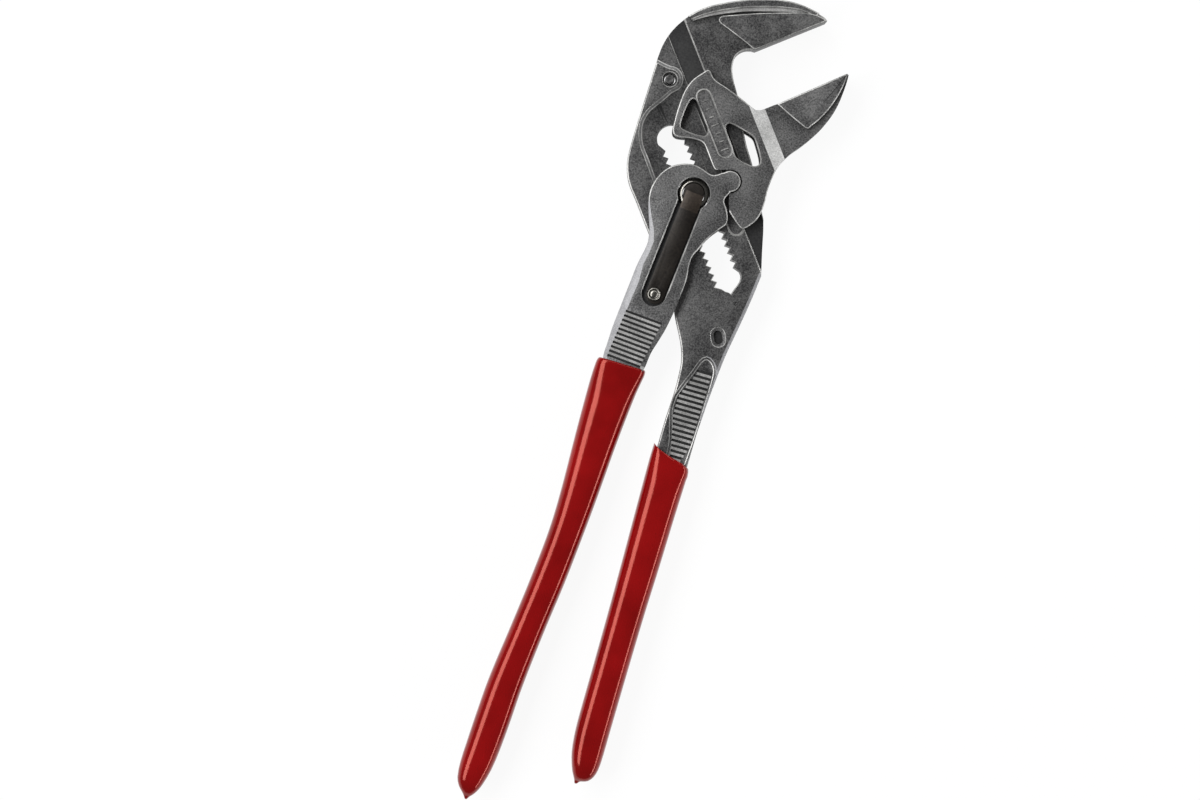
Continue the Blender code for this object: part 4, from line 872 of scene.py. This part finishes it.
def dipped_plastic(name):
    """Soft glossy plastic: a deep red with a faint flow pattern and a skin that isn't quite flat."""
    finish, nodes, links = new_finish(name)
    shader = nodes["Principled BSDF"]
    shader.inputs["Roughness"].default_value = 0.13
    shader.inputs["Specular IOR Level"].default_value = 0.85
    shader.inputs["Specular Tint"].default_value = (1.0, 0.30, 0.24, 1)
    spot = nodes.new("ShaderNodeTexCoord")
    flow = nodes.new("ShaderNodeTexNoise")
    flow.inputs["Scale"].default_value = 70.0
    flow.inputs["Detail"].default_value = 3.0
    skin = nodes.new("ShaderNodeTexNoise")
    skin.inputs["Scale"].default_value = 1100.0
    skin.inputs["Detail"].default_value = 2.0
    ramp_node = nodes.new("ShaderNodeValToRGB")
    ramp_node.color_ramp.elements[0].position = 0.3
    ramp_node.color_ramp.elements[0].color = (0.150, 0.0011, 0.0018, 1)
    ramp_node.color_ramp.elements[1].position = 0.7
    ramp_node.color_ramp.elements[1].color = (0.215, 0.0022, 0.0032, 1)
    relief = nodes.new("ShaderNodeBump")
    relief.inputs["Strength"].default_value = 0.12
    relief.inputs["Distance"].default_value = 0.00008
    for texture in (flow, skin):
        links.new(spot.outputs["Object"], texture.inputs["Vector"])
    links.new(flow.outputs["Fac"], ramp_node.inputs["Fac"])
    links.new(ramp_node.outputs["Color"], shader.inputs["Base Color"])
    links.new(skin.outputs["Fac"], relief.inputs["Height"])
    links.new(relief.outputs["Normal"], shader.inputs["Normal"])
    return finish


red_plastic = dipped_plastic("red_plastic")
for name, rows, slant, body, node in (("right_sleeve", right_rows, 2.6, "fixed_lever", "right_grip"),
                                      ("left_sleeve", left_rows, 0.2, "swing_lever", "left_grip")):
    settle(dipped(name, rows, slant), body, [node], [red_plastic])

# The floor is a plain white sheet. To the camera and in reflections most of it is a plain white glow, and
# its own shade keeps the tool's shadow.
floor_mesh = bmesh.new()
bmesh.ops.create_grid(floor_mesh, x_segments=1, y_segments=1, size=3.0)
floor = as_object("floor", floor_mesh)
white, nodes, links = new_finish("white_sheet")
sheet = nodes["Principled BSDF"]
sheet.inputs["Base Color"].default_value = (0.86, 0.86, 0.86, 1)
sheet.inputs["Roughness"].default_value = 0.9
glow = nodes.new("ShaderNodeEmission")
glow.inputs["Strength"].default_value = 1.0
path = nodes.new("ShaderNodeLightPath")
seen = nodes.new("ShaderNodeMath")
seen.operation = "MAXIMUM"
seen_too = nodes.new("ShaderNodeMath")
seen_too.operation = "MAXIMUM"
share = nodes.new("ShaderNodeMath")
share.operation = "MULTIPLY"
share.inputs[1].default_value = 0.93
mix = nodes.new("ShaderNodeMixShader")
links.new(path.outputs["Is Camera Ray"], seen.inputs[0])
links.new(path.outputs["Is Glossy Ray"], seen.inputs[1])
links.new(seen.outputs[0], seen_too.inputs[0])
links.new(path.outputs["Is Transmission Ray"], seen_too.inputs[1])
links.new(seen_too.outputs[0], share.inputs[0])
links.new(share.outputs[0], mix.inputs["Fac"])
links.new(sheet.outputs["BSDF"], mix.inputs[1])
links.new(glow.outputs["Emission"], mix.inputs[2])
links.new(mix.outputs["Shader"], nodes["Material Output"].inputs["Surface"])
floor.data.materials.append(white)

# The world is a plain white studio.
world = bpy.data.worlds.new("studio")
bpy.context.scene.world = world
world.use_nodes = True
world.node_tree.nodes["Background"].inputs["Color"].default_value = (1, 1, 1, 1)
world.node_tree.nodes["Background"].inputs["Strength"].default_value = 0.16
# Each lamp is a long softbox: its name, its place and size in metres, and its power in watts.
for name, spot, size, power in (("left_softbox", (-0.45, 0.05, 0.60), (1.3, 0.36), 9.4),
                                ("top_softbox", (0.10, 0.80, 0.55), (0.9, 0.25), 1.5),
                                ("right_softbox", (0.62, -0.05, 0.22), (1.3, 0.12), 3.6)):
    lamp = bpy.data.lights.new(name, "AREA")
    lamp.shape = "RECTANGLE"
    lamp.size, lamp.size_y = size
    lamp.energy = power
    hung = bpy.data.objects.new(name, lamp)
    hung.location = spot
    hung.rotation_euler = (Vector((0, 0, 0)) - Vector(spot)).to_track_quat("-Z", "Y").to_euler()
    bpy.context.scene.collection.objects.link(hung)

# The camera looks straight down on the tool, turned so that the handles lean as in the photograph.
VIEW_WIDTH = 0.375
VIEW_MIDDLE = (-10.45, -69.67)
TOOL_LEAN = math.atan2(0.274, 0.962)
camera_data = bpy.data.cameras.new("camera")
camera_data.sensor_width = 36.0
camera_data.lens = 120.0
camera = bpy.data.objects.new("camera", camera_data)
away = VIEW_WIDTH * camera_data.lens / camera_data.sensor_width
camera.location = place(*VIEW_MIDDLE, 0) + Vector((0, 0, away))
camera.rotation_euler = (0, 0, TOOL_LEAN)
bpy.context.scene.collection.objects.link(camera)
bpy.context.scene.camera = camera
bpy.context.scene.view_settings.view_transform = "Standard"
